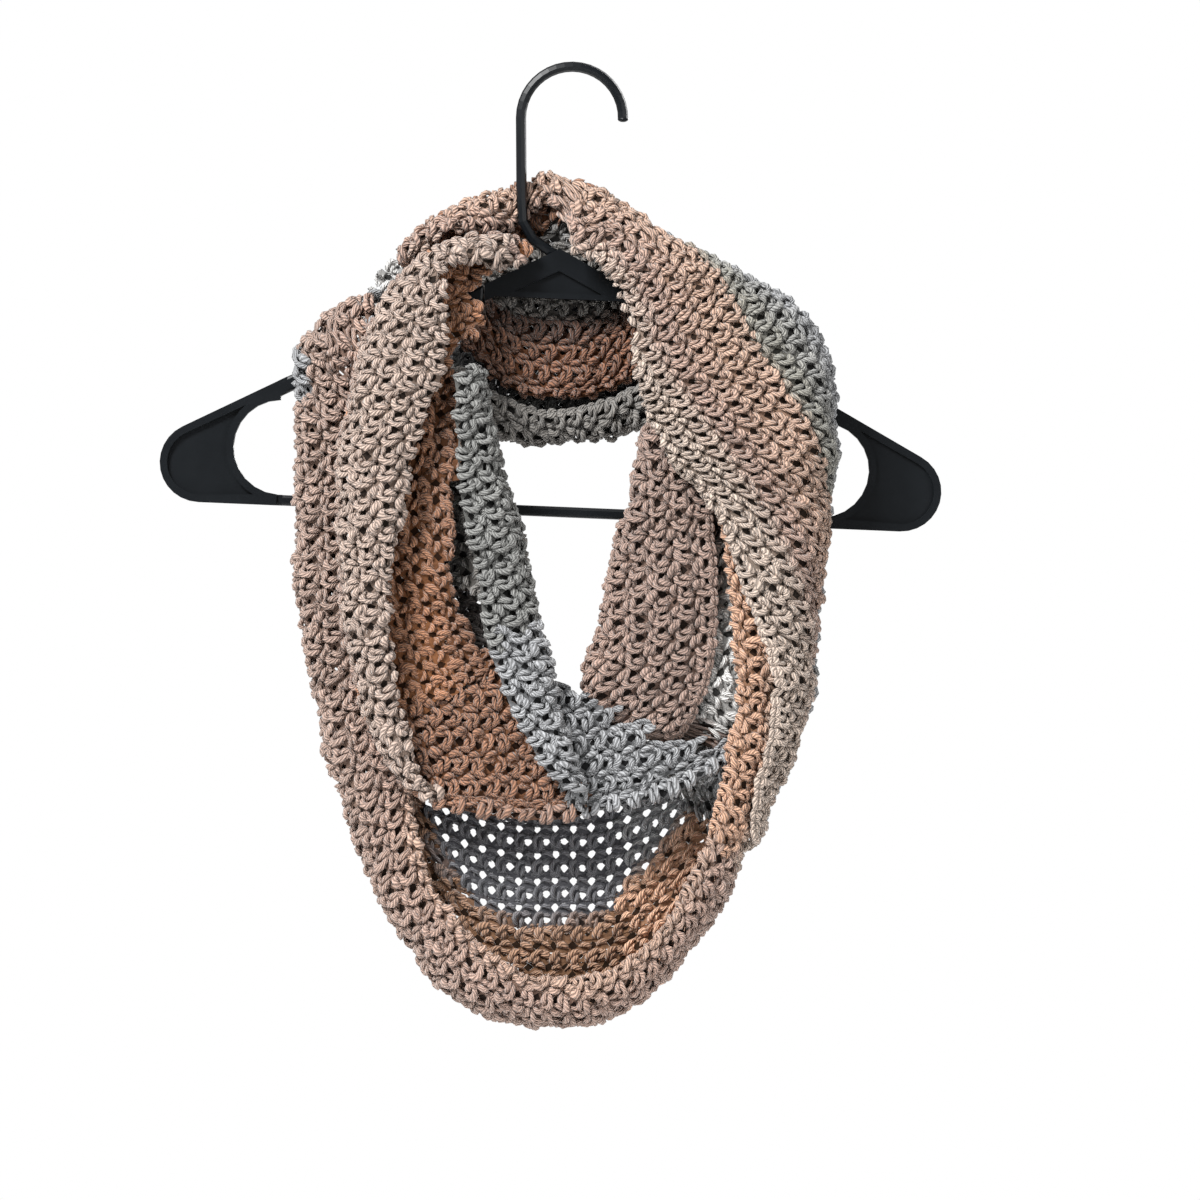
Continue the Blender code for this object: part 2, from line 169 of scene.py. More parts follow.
def noise(tree, scale, detail):
    """Noise fixed to the object, whose own units are metres."""
    place = add_node(tree, "ShaderNodeTexCoord").outputs["Object"]
    links = {"Vector": place, "Scale": scale, "Detail": detail}
    return add_node(tree, "ShaderNodeTexNoise", links).outputs[0]


def moulded_plastic():
    paint, tree, shader = new_material("black moulded plastic", {"IOR": 1.49, "Specular IOR Level": 0.22})
    fine, broad = noise(tree, 2600.0, 2.0), noise(tree, 60.0, 3.0)
    gloss = add_node(tree, "ShaderNodeMapRange", {"Value": broad, "To Min": 0.30, "To Max": 0.42})
    tint = add_node(tree, "ShaderNodeValToRGB", {"Fac": broad})
    for stop, code in zip(tint.color_ramp.elements, ("#080b0e", "#0c1014")):
        stop.color = linear(code)
    bump = add_node(tree, "ShaderNodeBump", {"Height": fine, "Strength": 0.25, "Distance": 0.00004})
    found = {"Roughness": gloss.outputs[0], "Base Color": tint.outputs[0], "Normal": bump.outputs[0]}
    connect(tree, shader, found)
    return paint


black_plastic = moulded_plastic()
HANGER = [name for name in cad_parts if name.startswith("hanger")]
for name in HANGER:
    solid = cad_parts[name]
    solid.data.materials.clear()
    solid.data.materials.append(black_plastic)
print("plastic on", HANGER)

# %% Joints of the moulding
ARM_FALL = math.tan(math.radians(27.5))  # how steeply the hanger's arms fall
JOINT_X = 146.5
JOINTS = ((-79.2, 9.1, ARM_FALL), (-140.6, 5.8, 0.0))  # height, thickness and fall of the arms and the bar
JOINT_REACH = 2.0
CORNER_CUT = 0.9
HANGER_TILT = Matrix.Translation((-6.5 * MM, 0.0, -97.4 * MM)) @ Matrix.Rotation(math.radians(2.4), 4, "Y")
HOOK_TIP = Matrix.Translation((27.6 * MM, 0.0, -25.6 * MM)) @ Matrix.Diagonal((1.0, 1.0, 0.55, 1.0))
TIP_RADIUS = 2.9 * MM


def beam_joint(shape, x, z, thick, fall):
    """A short length of square beam across a joint, with its long corners cut, in mm."""
    half = thick / 2
    flat = half - CORNER_CUT
    ring = [(half, flat), (flat, half), (-flat, half), (-half, flat)]
    ring += [(-y, -h) for y, h in ring]
    made = [shape.verts.new((x + step, y, z + h - fall * step))
            for step in (-JOINT_REACH, JOINT_REACH) for y, h in ring]
    faces = [(i, (i + 1) % 8, 8 + (i + 1) % 8, 8 + i) for i in range(8)]
    for face in (*faces, range(8), range(8, 16)):
        shape.faces.new([made[i] for i in face])


def fill_joints():
    """Closes the seams of the one moulding, between beams and paddles, and softens the hook's tip."""
    shape = bmesh.new()
    for side in (-1, 1):
        for z, thick, fall in JOINTS:
            beam_joint(shape, JOINT_X * side, z, thick, fall * side)
    bmesh.ops.recalc_face_normals(shape, faces=shape.faces)
    shape.transform(HANGER_TILT @ Matrix.Scale(MM, 4))
    bmesh.ops.create_uvsphere(shape, u_segments=20, v_segments=10, radius=TIP_RADIUS, matrix=HOOK_TIP)
    mesh = bpy.data.meshes.new("hanger_joints")
    shape.to_mesh(mesh)
    shape.free()
    mesh.materials.append(black_plastic)
    return link_object("hanger_joints", mesh)


joints = fill_joints()
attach(joints, "root")
print("joint faces", len(joints.data.polygons))

# %% [markdown]
# ## Variegated cotton yarn
#
# The yarn is dyed in long lengths of changing colour, so whole rows share one
# tone: taupe at one edge of the band, then rose, peach and brown, then grey at
# the other edge. A stripe attribute in millimetres picks the tone. The strands
# carry their length and the angle round them, so that the plies twist along
# each strand in real size: a groove in height every few millimetres, with
# painted shade in each groove and a painted highlight on each crown.

# %% Palette
# blush, pale and chalk serve as painted light: lighter tones laid where the lamps leave the cloth in shade;
# clay also serves as painted shade deep on the inner left wall
TONES = {
    "oat": "#ae9588", "fawn": "#c2b0a2", "taupe": "#a58c80", "rose": "#b29587", "beige": "#b8a396",
    "peach": "#c3a38f", "apricot": "#cba186", "blush": "#e7b899", "tan": "#b08a70", "terracotta": "#b88464",
    "clay": "#9b7159", "rust": "#8f654f", "umber": "#64493d", "sage": "#98958a", "grey": "#888885",
    "mist": "#a1a2a4", "pale": "#c4c3c1", "chalk": "#dedcd9", "stone": "#86827d", "ash": "#77777c",
    "coal": "#8a8481",
}
print("tones", list(TONES))

# %% Stripes of colour
DRIFT = 16.0  # how far the edge between two tones wanders in all, in mm


def maths(tree, operation, *values):
    return add_node(tree, "ShaderNodeMath", dict(enumerate(values)), operation=operation).outputs[0]


def attribute(tree, name, output="Fac"):
    return add_node(tree, "ShaderNodeAttribute", attribute_name=name).outputs[output]


def stripe_colour(tree, stripes):
    """The tone of each place, from its stripe attribute with a slow drift along the rows."""
    span = stripes[-1][0]
    drift = maths(tree, "MULTIPLY_ADD", noise(tree, 14.0, 1.0), DRIFT, -DRIFT / 2)
    across = maths(tree, "ADD", attribute(tree, "stripe"), drift)
    ramp = add_node(tree, "ShaderNodeValToRGB", {"Fac": maths(tree, "DIVIDE", across, span)})
    stops = ramp.color_ramp.elements
    while len(stops) > 1:
        stops.remove(stops[0])
    for index, (at, tone) in enumerate(stripes):
        stop = stops[0] if index == 0 else stops.new(at / span)
        stop.position = at / span
        stop.color = linear(TONES[tone])
    return ramp.outputs[0]


def dyed(tree, shader, stripes, light, height, saturation, **bump):
    """Colours a yarn by its stripes and its light, and gives its surface a relief."""
    tone = {"Color": stripe_colour(tree, stripes), "Value": light, "Saturation": saturation}
    colour = add_node(tree, "ShaderNodeHueSaturation", tone)
    relief = add_node(tree, "ShaderNodeBump", {"Height": height, **bump})
    connect(tree, shader, {"Base Color": colour.outputs[0], "Normal": relief.outputs[0]})


print("tones drift by", DRIFT, "mm in all")

# %% Yarn material
PLIES = 5
LAY = 10.5  # millimetres along the strand for one turn of a ply


def yarn(name, stripes):
    """Plied cotton yarn, dyed in stripes: (millimetres across the band, tone)."""
    paint, tree, shader = new_material(f"cotton yarn, {name}", {
        "Roughness": 0.88, "Sheen Weight": 0.25, "Sheen Roughness": 0.5, "Specular IOR Level": 0.25})
    ply = add_node(tree, "ShaderNodeSeparateXYZ", {0: attribute(tree, "ply", "Vector")}).outputs
    angle = maths(tree, "ARCTAN2", ply[1], ply[0])
    twist = maths(tree, "MULTIPLY", attribute(tree, "run"), 2 * math.pi / LAY)
    wave = maths(tree, "SINE", maths(tree, "MULTIPLY", maths(tree, "ADD", angle, twist), float(PLIES)))
    crown = maths(tree, "MULTIPLY_ADD", wave, 0.5, 0.5)
    # painted shade in the grooves between plies, down to about a third, and a painted highlight on their
    # crowns, up to a fifth over
    ply_shading = maths(tree, "MULTIPLY_ADD", maths(tree, "POWER", crown, 0.55), 0.86, 0.34)
    fibre = noise(tree, 1800.0, 2.0)
    heather = maths(tree, "MULTIPLY_ADD", fibre, 0.36, 0.82)
    stitch = maths(tree, "MULTIPLY_ADD", attribute(tree, "tone"), 0.22, 0.89)
    light = maths(tree, "MULTIPLY", ply_shading, maths(tree, "MULTIPLY", heather, stitch))
    height = maths(tree, "MULTIPLY_ADD", fibre, 0.25, maths(tree, "MULTIPLY", crown, 0.75))
    dyed(tree, shader, stripes, light, height, 1.0, Strength=1.0, Distance=0.0008)
    return paint


def yarn_shadow(name, stripes):
    """The same yarn seen deep between the stitches, with painted shade: darker and without lit plies."""
    paint, tree, shader = new_material(f"cotton yarn, inner strands, {name}", {
        "Roughness": 0.95, "Specular IOR Level": 0.1})
    fibre = noise(tree, 900.0, 3.0)
    # painted shade: the yarn's colour at under two fifths, and near black on the faces that fill holes, where
    # deep is 1
    level = maths(tree, "MULTIPLY_ADD", attribute(tree, "deep"), -0.34, 0.38)
    light = maths(tree, "MULTIPLY", level, maths(tree, "ADD", fibre, 0.5))
    dyed(tree, shader, stripes, light, fibre, 1.1, Strength=0.8, Distance=0.0004)
    return paint


print("one ply turns every", LAY, "mm")

# %% [markdown]
# ## The drape
#
# Each pass of the band is a row of sections. A section is a lying U in an
# upright plane: a front face from its free edge to a rounded fold, and a rear
# face from the fold inwards. Reading the table down a pass gives the outline
# and the depth of the rolled band, so its main creases are given in the table. The
# last column, tuck, is how much of the band is turned under at the front edge:
# where it is above zero the front edge is a soft roll, not the edge of the band.

# %% Sections of the long loop
Section = namedtuple("Section", "x z lean lip rear front_y rear_y end_y tuck")


def table(text):
    """Rows of numbers, one section a line, in the order that Section names."""
    return np.array([line.split() for line in text.split("\n") if line], float)


OUTER_PASS = table("""
-108 -119 -67 18 12 -18 4 4 0
-125 -126 -46 32 12 -24 4 4 0
-140 -142 -34 44 12 -26 -6.4 -6.4 8
-150 -152 -24 51 15 -26 -6.4 -6.4 8
-152 -164 -14 54 60 -26 -6.4 -6.4 8
-149 -177 -7 54 95 -26 -6.4 -6.4 8
-149 -205 -3 57 100 -26 -6.4 -6.4 8
-150 -242 0 57 105 -26 -6.4 -6.4 8
-147 -297 6 53 112 -26 -7 -7 8
-137 -348 17 48 117 -26 -8 -8 8
-123 -400 29 41 124 -30 -9 -9 8
-101 -451 44 31 131 -40 -10 -10 8
-71 -493 59 32 146 -48 -10 -10 8
-31 -514 74 28 149 -52 -10 -10 8
10 -513 86 25 142 -54 -10 -10 8
42 -497 95 24 129 -54 -10 -10 8
72 -463 112 25 99 -54 -10 -10 8
90 -430 131 25 77 -54 -11 -11 8
103 -392 150 24 63 -53 -12 -12 8
114 -360 162 27 65 -51 -12 -12 8
123 -329 172 35 70 -49 -12 -12 8
128 -297 176 42 74 -47 -12 -12 8
129 -264 180 48 75 -45 -12 -12 8
130 -232 180 53 76 -43 -12 -12 8
130 -205 180 54 75 -42 -12 -12 8
""")
print("long loop", len(OUTER_PASS), "sections")

# %% Sections over the hook and the right shoulder
TOP_PASS = table("""
-94 -96 -63 7 18 -10 12 16 40
-76 -78 -67 11 22 -14 14 16 40
-52 -68 -84 17 26 -8 16 16 42
-28 -60 -87 22 26 6 16 16 42
-15 -54 -84 17 26 4 16 16 40
-9 -55 -77 24 20 -8 16 16 38
7 -59 -100 38 20 -22 16 16 34
31 -75 -117 32 20 -34 16 16 30
61 -94 -146 44 20 -44 15 15 26
94 -110 -150 72 21 -52 13 13 24
121 -128 -153 96 22 -57 8 8 18
139 -157 -161 104 24 -60 -6.4 -6.4 12
142 -194 -168 90 60 -60 -6.4 -6.4 8
140 -232 -179 68 85 -59 -6.4 -6.4 8
136 -267 -182 48 85 -58 -6.4 -6.4 6
133 -302 -178 31 75 -57 -6.4 -6.4 3
128 -340 -180 20 60 -57 -6.4 -6.4 0
118 -375 -190 15 40 -57 -6.4 -6.4 0
104 -406 -204 8 20 -57 -6.4 -6.4 0
99 -418 -207 3 8 -57 -6.4 -6.4 0
""")
print("over the hook", len(TOP_PASS), "sections")

# %% Sections of the short loop
INNER_PASS = table("""
-25 -92 -87 11 10 -16 -7 -7 35
-40 -89 -87 18 17 -26 -8 -8 28
-57 -90 -70 11 32 -36 -10 -12 35
-76 -96 -53 14 45 -44 -14 -18 32
-92 -111 -38 32 54 -54 -22 -26 14
-104 -129 -23 42 42 -60 -29.8 -36 4
-114 -155 -12 46 54 -62 -29.8 -42 0
-122 -188 -4 44 62 -63 -30.5 -44 2
-126 -234 0 37 60 -63 -30.5 -44 9
-124 -278 3 27 56 -62 -31.4 -42 19
-119 -318 14 23 66 -60 -34 -36 23
-108 -357 27 20 74 -56 -36 -36 26
-93 -384 48 15 80 -52 -38 -38 31
-76 -394 51 3 84 -50 -40 -40 43
-49 -398 63 2 74 -50 -40 -41 44
-17 -401 76 2 64 -51 -41 -42 44
14 -397 90 2 54 -52 -42 -43 44
37 -392 104 2 46 -52 -42 -44 44
60 -384 104 2 33 -50 -40 -42 44
76 -375 117 2 19 -46 -37 -39 44
88 -366 124 2 8 -42 -34 -35 44
""")
NECK_LIP = table("""
-51 -145 -168 13 28 -54 -27 -27 0
-45 -175 -171 18 30 -57 -27 -27 0
-40 -199 -173 22 36 -58 -27 -27 0
-32 -229 -175 27 44 -58 -27 -27 0
-24 -261 -175 29 48 -58 -27 -27 0
-17 -294 -175 30 16 -58 -38 -38 0
-11 -321 -169 29 12 -58 -44 -44 0
-4 -348 -160 24 12 -58 -48 -48 0
3 -372 -160 16 10 -59 -49.2 -49.2 0
10 -392 -159 5 6 -60 -50.9 -50.9 0
""")
INNER_RIGHT = table("""
45 -161 -8 19 50 -34 -20 -20 0
40 -191 -5 31 55 -42 -20 -20 0
29 -232 3 44 64 -44 -20 -24 0
19 -275 0 57 74 -44 -20 -32 0
11 -310 -2 64 82 -43 -20 -34 0
6 -334 -2 64 84 -40 -20 -33 0
10 -348 -1 54 80 -38.5 -20 -31 0
21 -356 -5 34 70 -34 -20 -29 0
""")
print("short loop", len(INNER_PASS), len(NECK_LIP), len(INNER_RIGHT), "sections")

# %% Sections behind the hanger
BACK_NECK = table("""
-130 -138 -52 6 12 7.3 13 12 0
-142 -152 -25 8 18 7.3 14 13 0
-147 -166 -2 9 22 7 15 14 0
-144 -182 28 10 24 7 15 14 0
-136 -193 58 12 32 7 17 15 0
-121 -199 84 15 68 8 21 19.3 0
-107 -200 89 17 86 8.5 24 19.8 0
-92 -199 90 19 103 9 26 19.8 0
-63 -196 93 36 110 9 28 19.8 0
-39 -199 94 22 118 9 30 19.8 0
-15 -201 94 17 130 9 31 19.8 0
15 -199 88 19 124 9 30 19.8 0
42 -192 87 23 100 9 28 19.8 0
72 -191 88 19 82 9 24 19.8 0
107 -191 90 16 58 8 20 16.5 0
123 -187 108 13 46 7.5 17 14 0
134 -178 145 10 26 7 15 13 0
137 -165 180 8 20 7 14 13 0
131 -152 212 6 14 7.3 13 12 0
""")
BACK_LINER = table("""
-63 -142 90 3 38 6 14 16.8 0
-49 -161 90 2 60 6 14 16.8 0
-28 -174 90 2 75 6 14 16.8 0
-6 -178 90 2 80 6 14 16.8 0
18 -175 90 2 74 6 14 16.8 0
37 -162 90 2 54 6 14 16.8 0
52 -148 90 2 34 6 14 16.8 0
""")
print("behind the hanger", len(BACK_NECK), len(BACK_LINER), "sections")


# %% Smooth lines
def smooth(values, knots, at):
    """Cubic Hermite interpolation of rows of values, with slopes taken from the neighbours."""
    slopes = np.gradient(values, knots, axis=0)
    cell = np.clip(np.searchsorted(knots, at, side="right") - 1, 0, len(knots) - 2)
    width = (knots[cell + 1] - knots[cell])[:, None]
    t = (at - knots[cell])[:, None] / width
    return (
        (2 * t**3 - 3 * t**2 + 1) * values[cell]
        + (t**3 - 2 * t**2 + t) * width * slopes[cell]
        + (3 * t**2 - 2 * t**3) * values[cell + 1]
        + (t**3 - t**2) * width * slopes[cell + 1]
    )


def run_of(line):
    """Distance along a line of points to each of them."""
    steps = np.linalg.norm(np.diff(line, axis=0), axis=1)
    return np.concatenate([[0.0], np.cumsum(steps)])


def spread(line, count):
    """The same line with count points at even distances."""
    run = run_of(line)
    even = np.linspace(0.0, run[-1], count)
    return np.stack([np.interp(even, run, column) for column in line.T], axis=1)


print("long loop", round(run_of(OUTER_PASS[:, :2])[-1]), "mm along its outline")

# %% Section shape
WALL = 3.0
INSET = 0.7  # the middle of the stitches lies this far inside the solid's outline
PUFF, EDGE_CURL = 2.0, 2.5  # how far a front face swells forward, and how far its edge curls back
FULL_PUFF, FULL_CURL = 30.0, 8.0  # the length past the fold from which each is full
LEAST = 0.5  # the shortest face of a section
FLAT_FROM = 1.0  # a face this much longer than its fold goes on flat


def flat_section(row):
    """The middle of the cloth in one section as (distance inward, depth), free front edge first."""
    half_gap = (row.rear_y - row.front_y) / 2
    middle_y = (row.rear_y + row.front_y) / 2
    lip = max(row.lip - WALL / 2 - INSET, LEAST)
    rear = max(row.rear - WALL / 2 - INSET, LEAST)
    first = math.acos(max(1 - lip / half_gap, 0.0))
    last = math.acos(max(1 - rear / half_gap, 0.0))
    angle = np.linspace(first, -last, 25)
    line = [np.stack([half_gap * (1 - np.cos(angle)), middle_y - half_gap * np.sin(angle)], axis=1)]
    if lip > half_gap + FLAT_FROM:
        share = np.linspace(1.0, 0.0, 16, endpoint=False)
        reach = half_gap + (lip - half_gap) * share
        swell = PUFF * np.sin(math.pi * share) * min((lip - half_gap) / FULL_PUFF, 1.0)
        curl = EDGE_CURL * share**4 * min((lip - half_gap) / FULL_CURL, 1.0)
        line.insert(0, np.stack([reach, row.front_y - swell + curl], axis=1))
    if rear > half_gap + FLAT_FROM:
        share = np.linspace(0.0, 1.0, 20)[1:]
        ease = share * share * (3 - 2 * share)
        line.append(np.stack([half_gap + (rear - half_gap) * share,
                              row.rear_y + (row.end_y - row.rear_y) * ease], axis=1))
    return np.concatenate(line)


print("inset", INSET)

# %% Rolled and continued edges
ROLL = 2.6  # radius of a turned-under front edge
LEAST_ROLL, FULL_ROLL = 0.3, 4.0  # cloth turned under by less stays straight, by more makes a whole roll
ROLL_SHARE = 0.4  # a roll takes at most this share of its section
MARGIN = 7.0  # the drape is continued this far past its edges, for whole stitches
CORE = 60  # points across a section between its margins
REAR = 150.0  # the stripe at the fold, where the rear face starts
HALF_UP = 20.0  # distance from the fold at which sections are spaced
LEAST_GAP = 1.0  # added between sections, so that no two are at one place


def unit(step):
    return step / np.linalg.norm(step)


def add_margins(path, tuck):
    """Continues a section past both ends: a roll backwards where cloth is turned under, else straight on."""
    rolled = min(max(tuck, 0.0), math.pi * ROLL)
    turn = np.zeros((0, 1))
    if rolled > LEAST_ROLL:
        run = run_of(path)
        path = path[run >= min(ROLL * min(rolled / FULL_ROLL, 1.0), run[-1] * ROLL_SHARE)]
        turn = np.linspace(rolled / ROLL, 0.0, 8, endpoint=False)[:, None]
    out = unit(path[0] - path[1])
    back = np.array([-out[1], out[0]])
    back *= 1.0 if back[1] >= 0 else -1.0
    roll = path[0] + ROLL * (np.sin(turn) * out + (1 - np.cos(turn)) * back)
    path = spread(np.concatenate([roll, path]), CORE)
    ahead, behind = unit(path[0] - path[1]), unit(path[-1] - path[-2])
    far = MARGIN * np.array([[1.0], [0.5]])
    return np.concatenate([path[0] + far * ahead, path, path[-1] + far[::-1] * behind]), rolled


def section_line(row):
    """One section: its points, the distance of each across the band, and its stripe, in mm.
    The stripe is that distance on the front face, and REAR plus the distance from the fold behind it."""
    path, rolled = add_margins(flat_section(row), row.tuck)
    across = run_of(path) - MARGIN - rolled + row.tuck
    inward = path[:, 0] + WALL / 2 + INSET
    lean = math.radians(row.lean)
    behind = np.arange(len(path)) > np.argmin(path[:, 0])
    stripe = np.where(behind, REAR + inward, across)
    points = np.stack([row.x + inward * math.cos(lean), path[:, 1], row.z + inward * math.sin(lean)], axis=1)
    return points, across, stripe


def section_knots(rows):
    """Distance along a pass to each of its sections, halfway up the front face."""
    lean = np.radians(rows[:, 2])
    middle = rows[:, :2] + HALF_UP * np.stack([np.cos(lean), np.sin(lean)], axis=1)
    return np.concatenate([[0.0], np.cumsum(np.linalg.norm(np.diff(middle, axis=0), axis=1) + LEAST_GAP)])


print("points across", CORE + 4)

# %% [markdown]
# ## One draped surface for each stretch
#
# The surface is only a carrier: it never shows. It holds a flat map in
# metres, along the band and across it, and beside it the direction out of the
# cloth, the stripe, the dye and the painted light, and whether the place is inside the real edges.
# Sampling it by that map bends anything that is made flat onto the drape.

# %% Ripples
WAVES = ((0.9, 75.0, 160.0), (0.6, 43.0, 70.0), (0.35, 24.0, 38.0))  # height, length along and across


def ripple(along, across, seed):
    """Soft uneven waves of the cloth, in mm."""
    rng = np.random.default_rng(seed)
    total = np.zeros_like(along)
    for size, long, wide in WAVES:
        a, b = rng.uniform(0, 2 * math.pi, 2)
        total += size * np.sin(2 * math.pi * along / long + a + 1.3 * np.sin(2 * math.pi * across / wide + b))
    return total


print("ripples up to", sum(size for size, *_ in WAVES), "mm")

# %% Draped grid
Drape = namedtuple("Drape", "points normal along across stripe dye inside start end")
STEP = 4.0  # greatest distance between the sections of a grid


def grid_normals(points):
    normal = np.cross(np.gradient(points, axis=1), np.gradient(points, axis=0))
    return normal / np.linalg.norm(normal, axis=2, keepdims=True)


def drape_grid(rows, first, last, seed):
    """One stretch of a pass, between two of its sections, as a grid continued past its edges."""
    knots = section_knots(rows)
    start, end = np.interp((first, last), np.arange(len(knots)), knots)
    reach = np.linspace(start - MARGIN, end + MARGIN, int((end - start) / STEP) + 6)
    inner = np.clip(reach, knots[0], knots[-1])
    made = [section_line(Section(*row)) for row in smooth(rows, knots, inner)]
    points, across, stripe = (np.stack(column) for column in zip(*made))
    for outside, edge, inward in ((reach < knots[0], 0, 1), (reach > knots[-1], -1, -1)):
        if outside.any():
            base = np.flatnonzero(~outside)[edge]
            step = points[base] - points[base + inward]
            gap = abs(reach[base] - reach[base + inward])
            for i in np.flatnonzero(outside):
                points[i] = points[base] + step / gap * abs(reach[i] - reach[base])
    along = np.repeat(reach[:, None], points.shape[1], axis=1)
    normal = grid_normals(points)
    if normal[:, : CORE // 4, 1].mean() > 0:
        normal = -normal
    points = points + normal * ripple(along, across, seed)[..., None]
    inside = np.ones_like(along)
    inside[:, :2] = 0.0
    inside[:, -2:] = 0.0
    inside[(reach < knots[0] - 0.01) | (reach > knots[-1] + 0.01)] = 0.0
    return Drape(points, normal, along, across, stripe, np.zeros_like(stripe), inside, start, end)


def area_of(drape):
    """Area in square metres of the part of a stretch that is inside its edges and its ends."""
    a = drape.points[1:, :-1] - drape.points[:-1, :-1]
    b = drape.points[:-1, 1:] - drape.points[:-1, :-1]
    each = np.linalg.norm(np.cross(a, b), axis=2)
    shown = drape.inside * (drape.along >= drape.start) * (drape.along <= drape.end)
    return float((each * (shown[1:, 1:] * shown[:-1, :-1])).sum()) * MM * MM


print("a section every", STEP, "mm at most")


# %% Carrier mesh
def store(mesh, name, values, kind="FLOAT"):
    """Gives the points of a mesh a named attribute."""
    key = "value" if kind == "FLOAT" else "vector"
    mesh.attributes.new(name, kind, "POINT").data.foreach_set(key, np.asarray(values, np.float32).ravel())


def carrier(name, drape):
    """The draped surface as a mesh with its flat map, in metres, and its attributes."""
    rows, columns = drape.points.shape[:2]
    faces = [(i * columns + j, (i + 1) * columns + j, (i + 1) * columns + j + 1, i * columns + j + 1)
             for i in range(rows - 1) for j in range(columns - 1)]
    mesh = bpy.data.meshes.new(name)
    mesh.from_pydata((drape.points.reshape(-1, 3) * MM).tolist(), [], faces)
    corner = np.empty(len(mesh.loops), np.int32)
    mesh.loops.foreach_get("vertex_index", corner)
    flat = np.stack([drape.along.ravel(), drape.across.ravel()], axis=1) * MM
    mesh.uv_layers.new(name="flat").data.foreach_set("uv", flat[corner].astype(np.float32).ravel())
    store(mesh, "lift", drape.normal, "FLOAT_VECTOR")
    store(mesh, "stripe", drape.stripe)
    store(mesh, "dye", drape.dye)
    store(mesh, "inside", drape.inside)
    return bpy.data.objects.new(name, mesh)


print("carrier attributes: lift, stripe, dye, inside")

# %% [markdown]
# ## A stitch, made flat
#
# The band is moss stitch: a single crochet, then one chain, with each stitch
# worked into the chain of the row below, so the holes stand in brick order. One
# pitch is modelled flat: the two legs of the post, the links along its top and
# the bar behind. Work is turned after each row, so every second row shows its
# back. Strands are swept tubes that keep their length and angle for the plies.

# %% Strands
PHASE = 1.7  # each strand of a stitch starts this much further along the twist of its plies
BLUNT, FULLER = 0.3, 0.08  # least radius at a strand's ends, and how much fuller its middle is


def strand(points, radius, rings, sides=5):
    """A round strand through points: vertices, quads, and each vertex's length and angle round it."""
    line = np.array(points, float)
    centre = smooth(line, np.arange(len(line), dtype=float), np.linspace(0, len(line) - 1, rings))
    tangent = np.gradient(centre, axis=0)
    tangent /= np.linalg.norm(tangent, axis=1, keepdims=True)
    side = np.cross(tangent, np.where(abs(tangent[:, 2:3]) > 0.9, (0.0, 1.0, 0.0), (0.0, 0.0, 1.0)))
    side /= np.linalg.norm(side, axis=1, keepdims=True)
    other = np.cross(side, tangent)
    angle = np.arange(sides) * 2 * math.pi / sides
    place = np.abs(np.linspace(-1.0, 1.0, rings))
    size = radius * np.maximum(np.sqrt(1 - place**5), BLUNT) * (1.0 + FULLER * np.cos(3.0 * place))
    ring = np.cos(angle)[:, None] * side[:, None] + np.sin(angle)[:, None] * other[:, None]
    verts = (centre[:, None] + ring * size[:, None, None]).reshape(-1, 3)
    faces = []
    for base in range(0, (rings - 1) * sides, sides):
        for j in range(sides):
            turn = base + (j + 1) % sides
            faces.append((base + j, turn, turn + sides, base + j + sides))
    run = np.repeat(run_of(centre), sides)
    ply = np.tile(np.stack([np.cos(angle), np.sin(angle), np.zeros(sides)], axis=1), (rings, 1))
    return verts, faces, run, ply


def stitch_object(name, strands):
    """Strands joined into one flat stitch, in mm, with its run and ply attributes."""
    faces, count = [], 0
    for verts, quads, _, _ in strands:
        faces += [tuple(i + count for i in quad) for quad in quads]
        count += len(verts)
    mesh = bpy.data.meshes.new(name)
    mesh.from_pydata(np.concatenate([verts for verts, *_ in strands]).tolist(), [], faces)
    mesh.shade_smooth()
    store(mesh, "run", np.concatenate([run + PHASE * index for index, (_, _, run, _) in enumerate(strands)]))
    store(mesh, "ply", np.concatenate([ply for *_, ply in strands]), "FLOAT_VECTOR")
    return bpy.data.objects.new(name, mesh)


def triangles(obj):
    return sum(len(face.vertices) - 2 for face in obj.data.polygons)


print("strands of 4 or 5 sides")

# %% Post and chain
PITCH = 10.3
TALL, LOW = 7.0, 5.1  # heights of a row seen from its front and of one seen from its back
LEAN = 0.87  # how far a post leans along the row from its middle to its top
ROW_SHIFT = 0.5 + 2 * LEAN / PITCH  # each row starts this share of a pitch after the last


def post(height, lean, rings, sides, thick):
    """A single crochet: the rope of its cap and right leg, its left leg, and the bar behind."""
    cap = [(lean - 3.7, height + 0.9, -1.3), (lean - 2.0, height + 1.0, 0.9),
           (lean + 0.2, height + 0.4, 2.0), (0.4 * lean + 1.6, 0.68 * height, 2.1),
           (1.4 - 0.3 * lean, 0.34 * height, 1.8), (0.5 - lean, -0.7, -0.9)]
    leg = [(lean - 2.7, height - 0.8, -1.1), (-2.0, 0.58 * height, 1.3),
           (-0.5 * lean - 1.5, 0.22 * height, 1.5), (-lean - 0.6, -1.4, -0.9)]
    bar = [(-3.2, 0.50 * height, -0.2), (-1.2, 0.74 * height, -2.1),
           (1.1, 0.64 * height, -2.2), (3.1, 0.3 * height, -0.2)]
    return [strand(cap, 1.6 * thick, rings + 2, sides), strand(leg, 1.45 * thick, rings, sides),
            strand(bar, 1.6 * thick, rings, sides)]


def chain(left, right, height, rings, sides):
    """The chain between two posts, a front and a back strand that lie deeper than the caps."""
    near, far = left + 0.3 * (right - left), left + 0.7 * (right - left)
    front = [(left, height + 0.5, -0.5), (near, height - 0.2, 0.7),
             (far, height, 0.6), (right, height + 0.9, -0.8)]
    back = [(left, height + 0.8, -1.2), (near, height + 1.3, -0.5),
            (far, height + 1.4, -0.4), (right, height + 1.0, -1.3)]
    return [strand(front, 1.3, rings, sides), strand(back, 1.15, rings - 1, sides)]


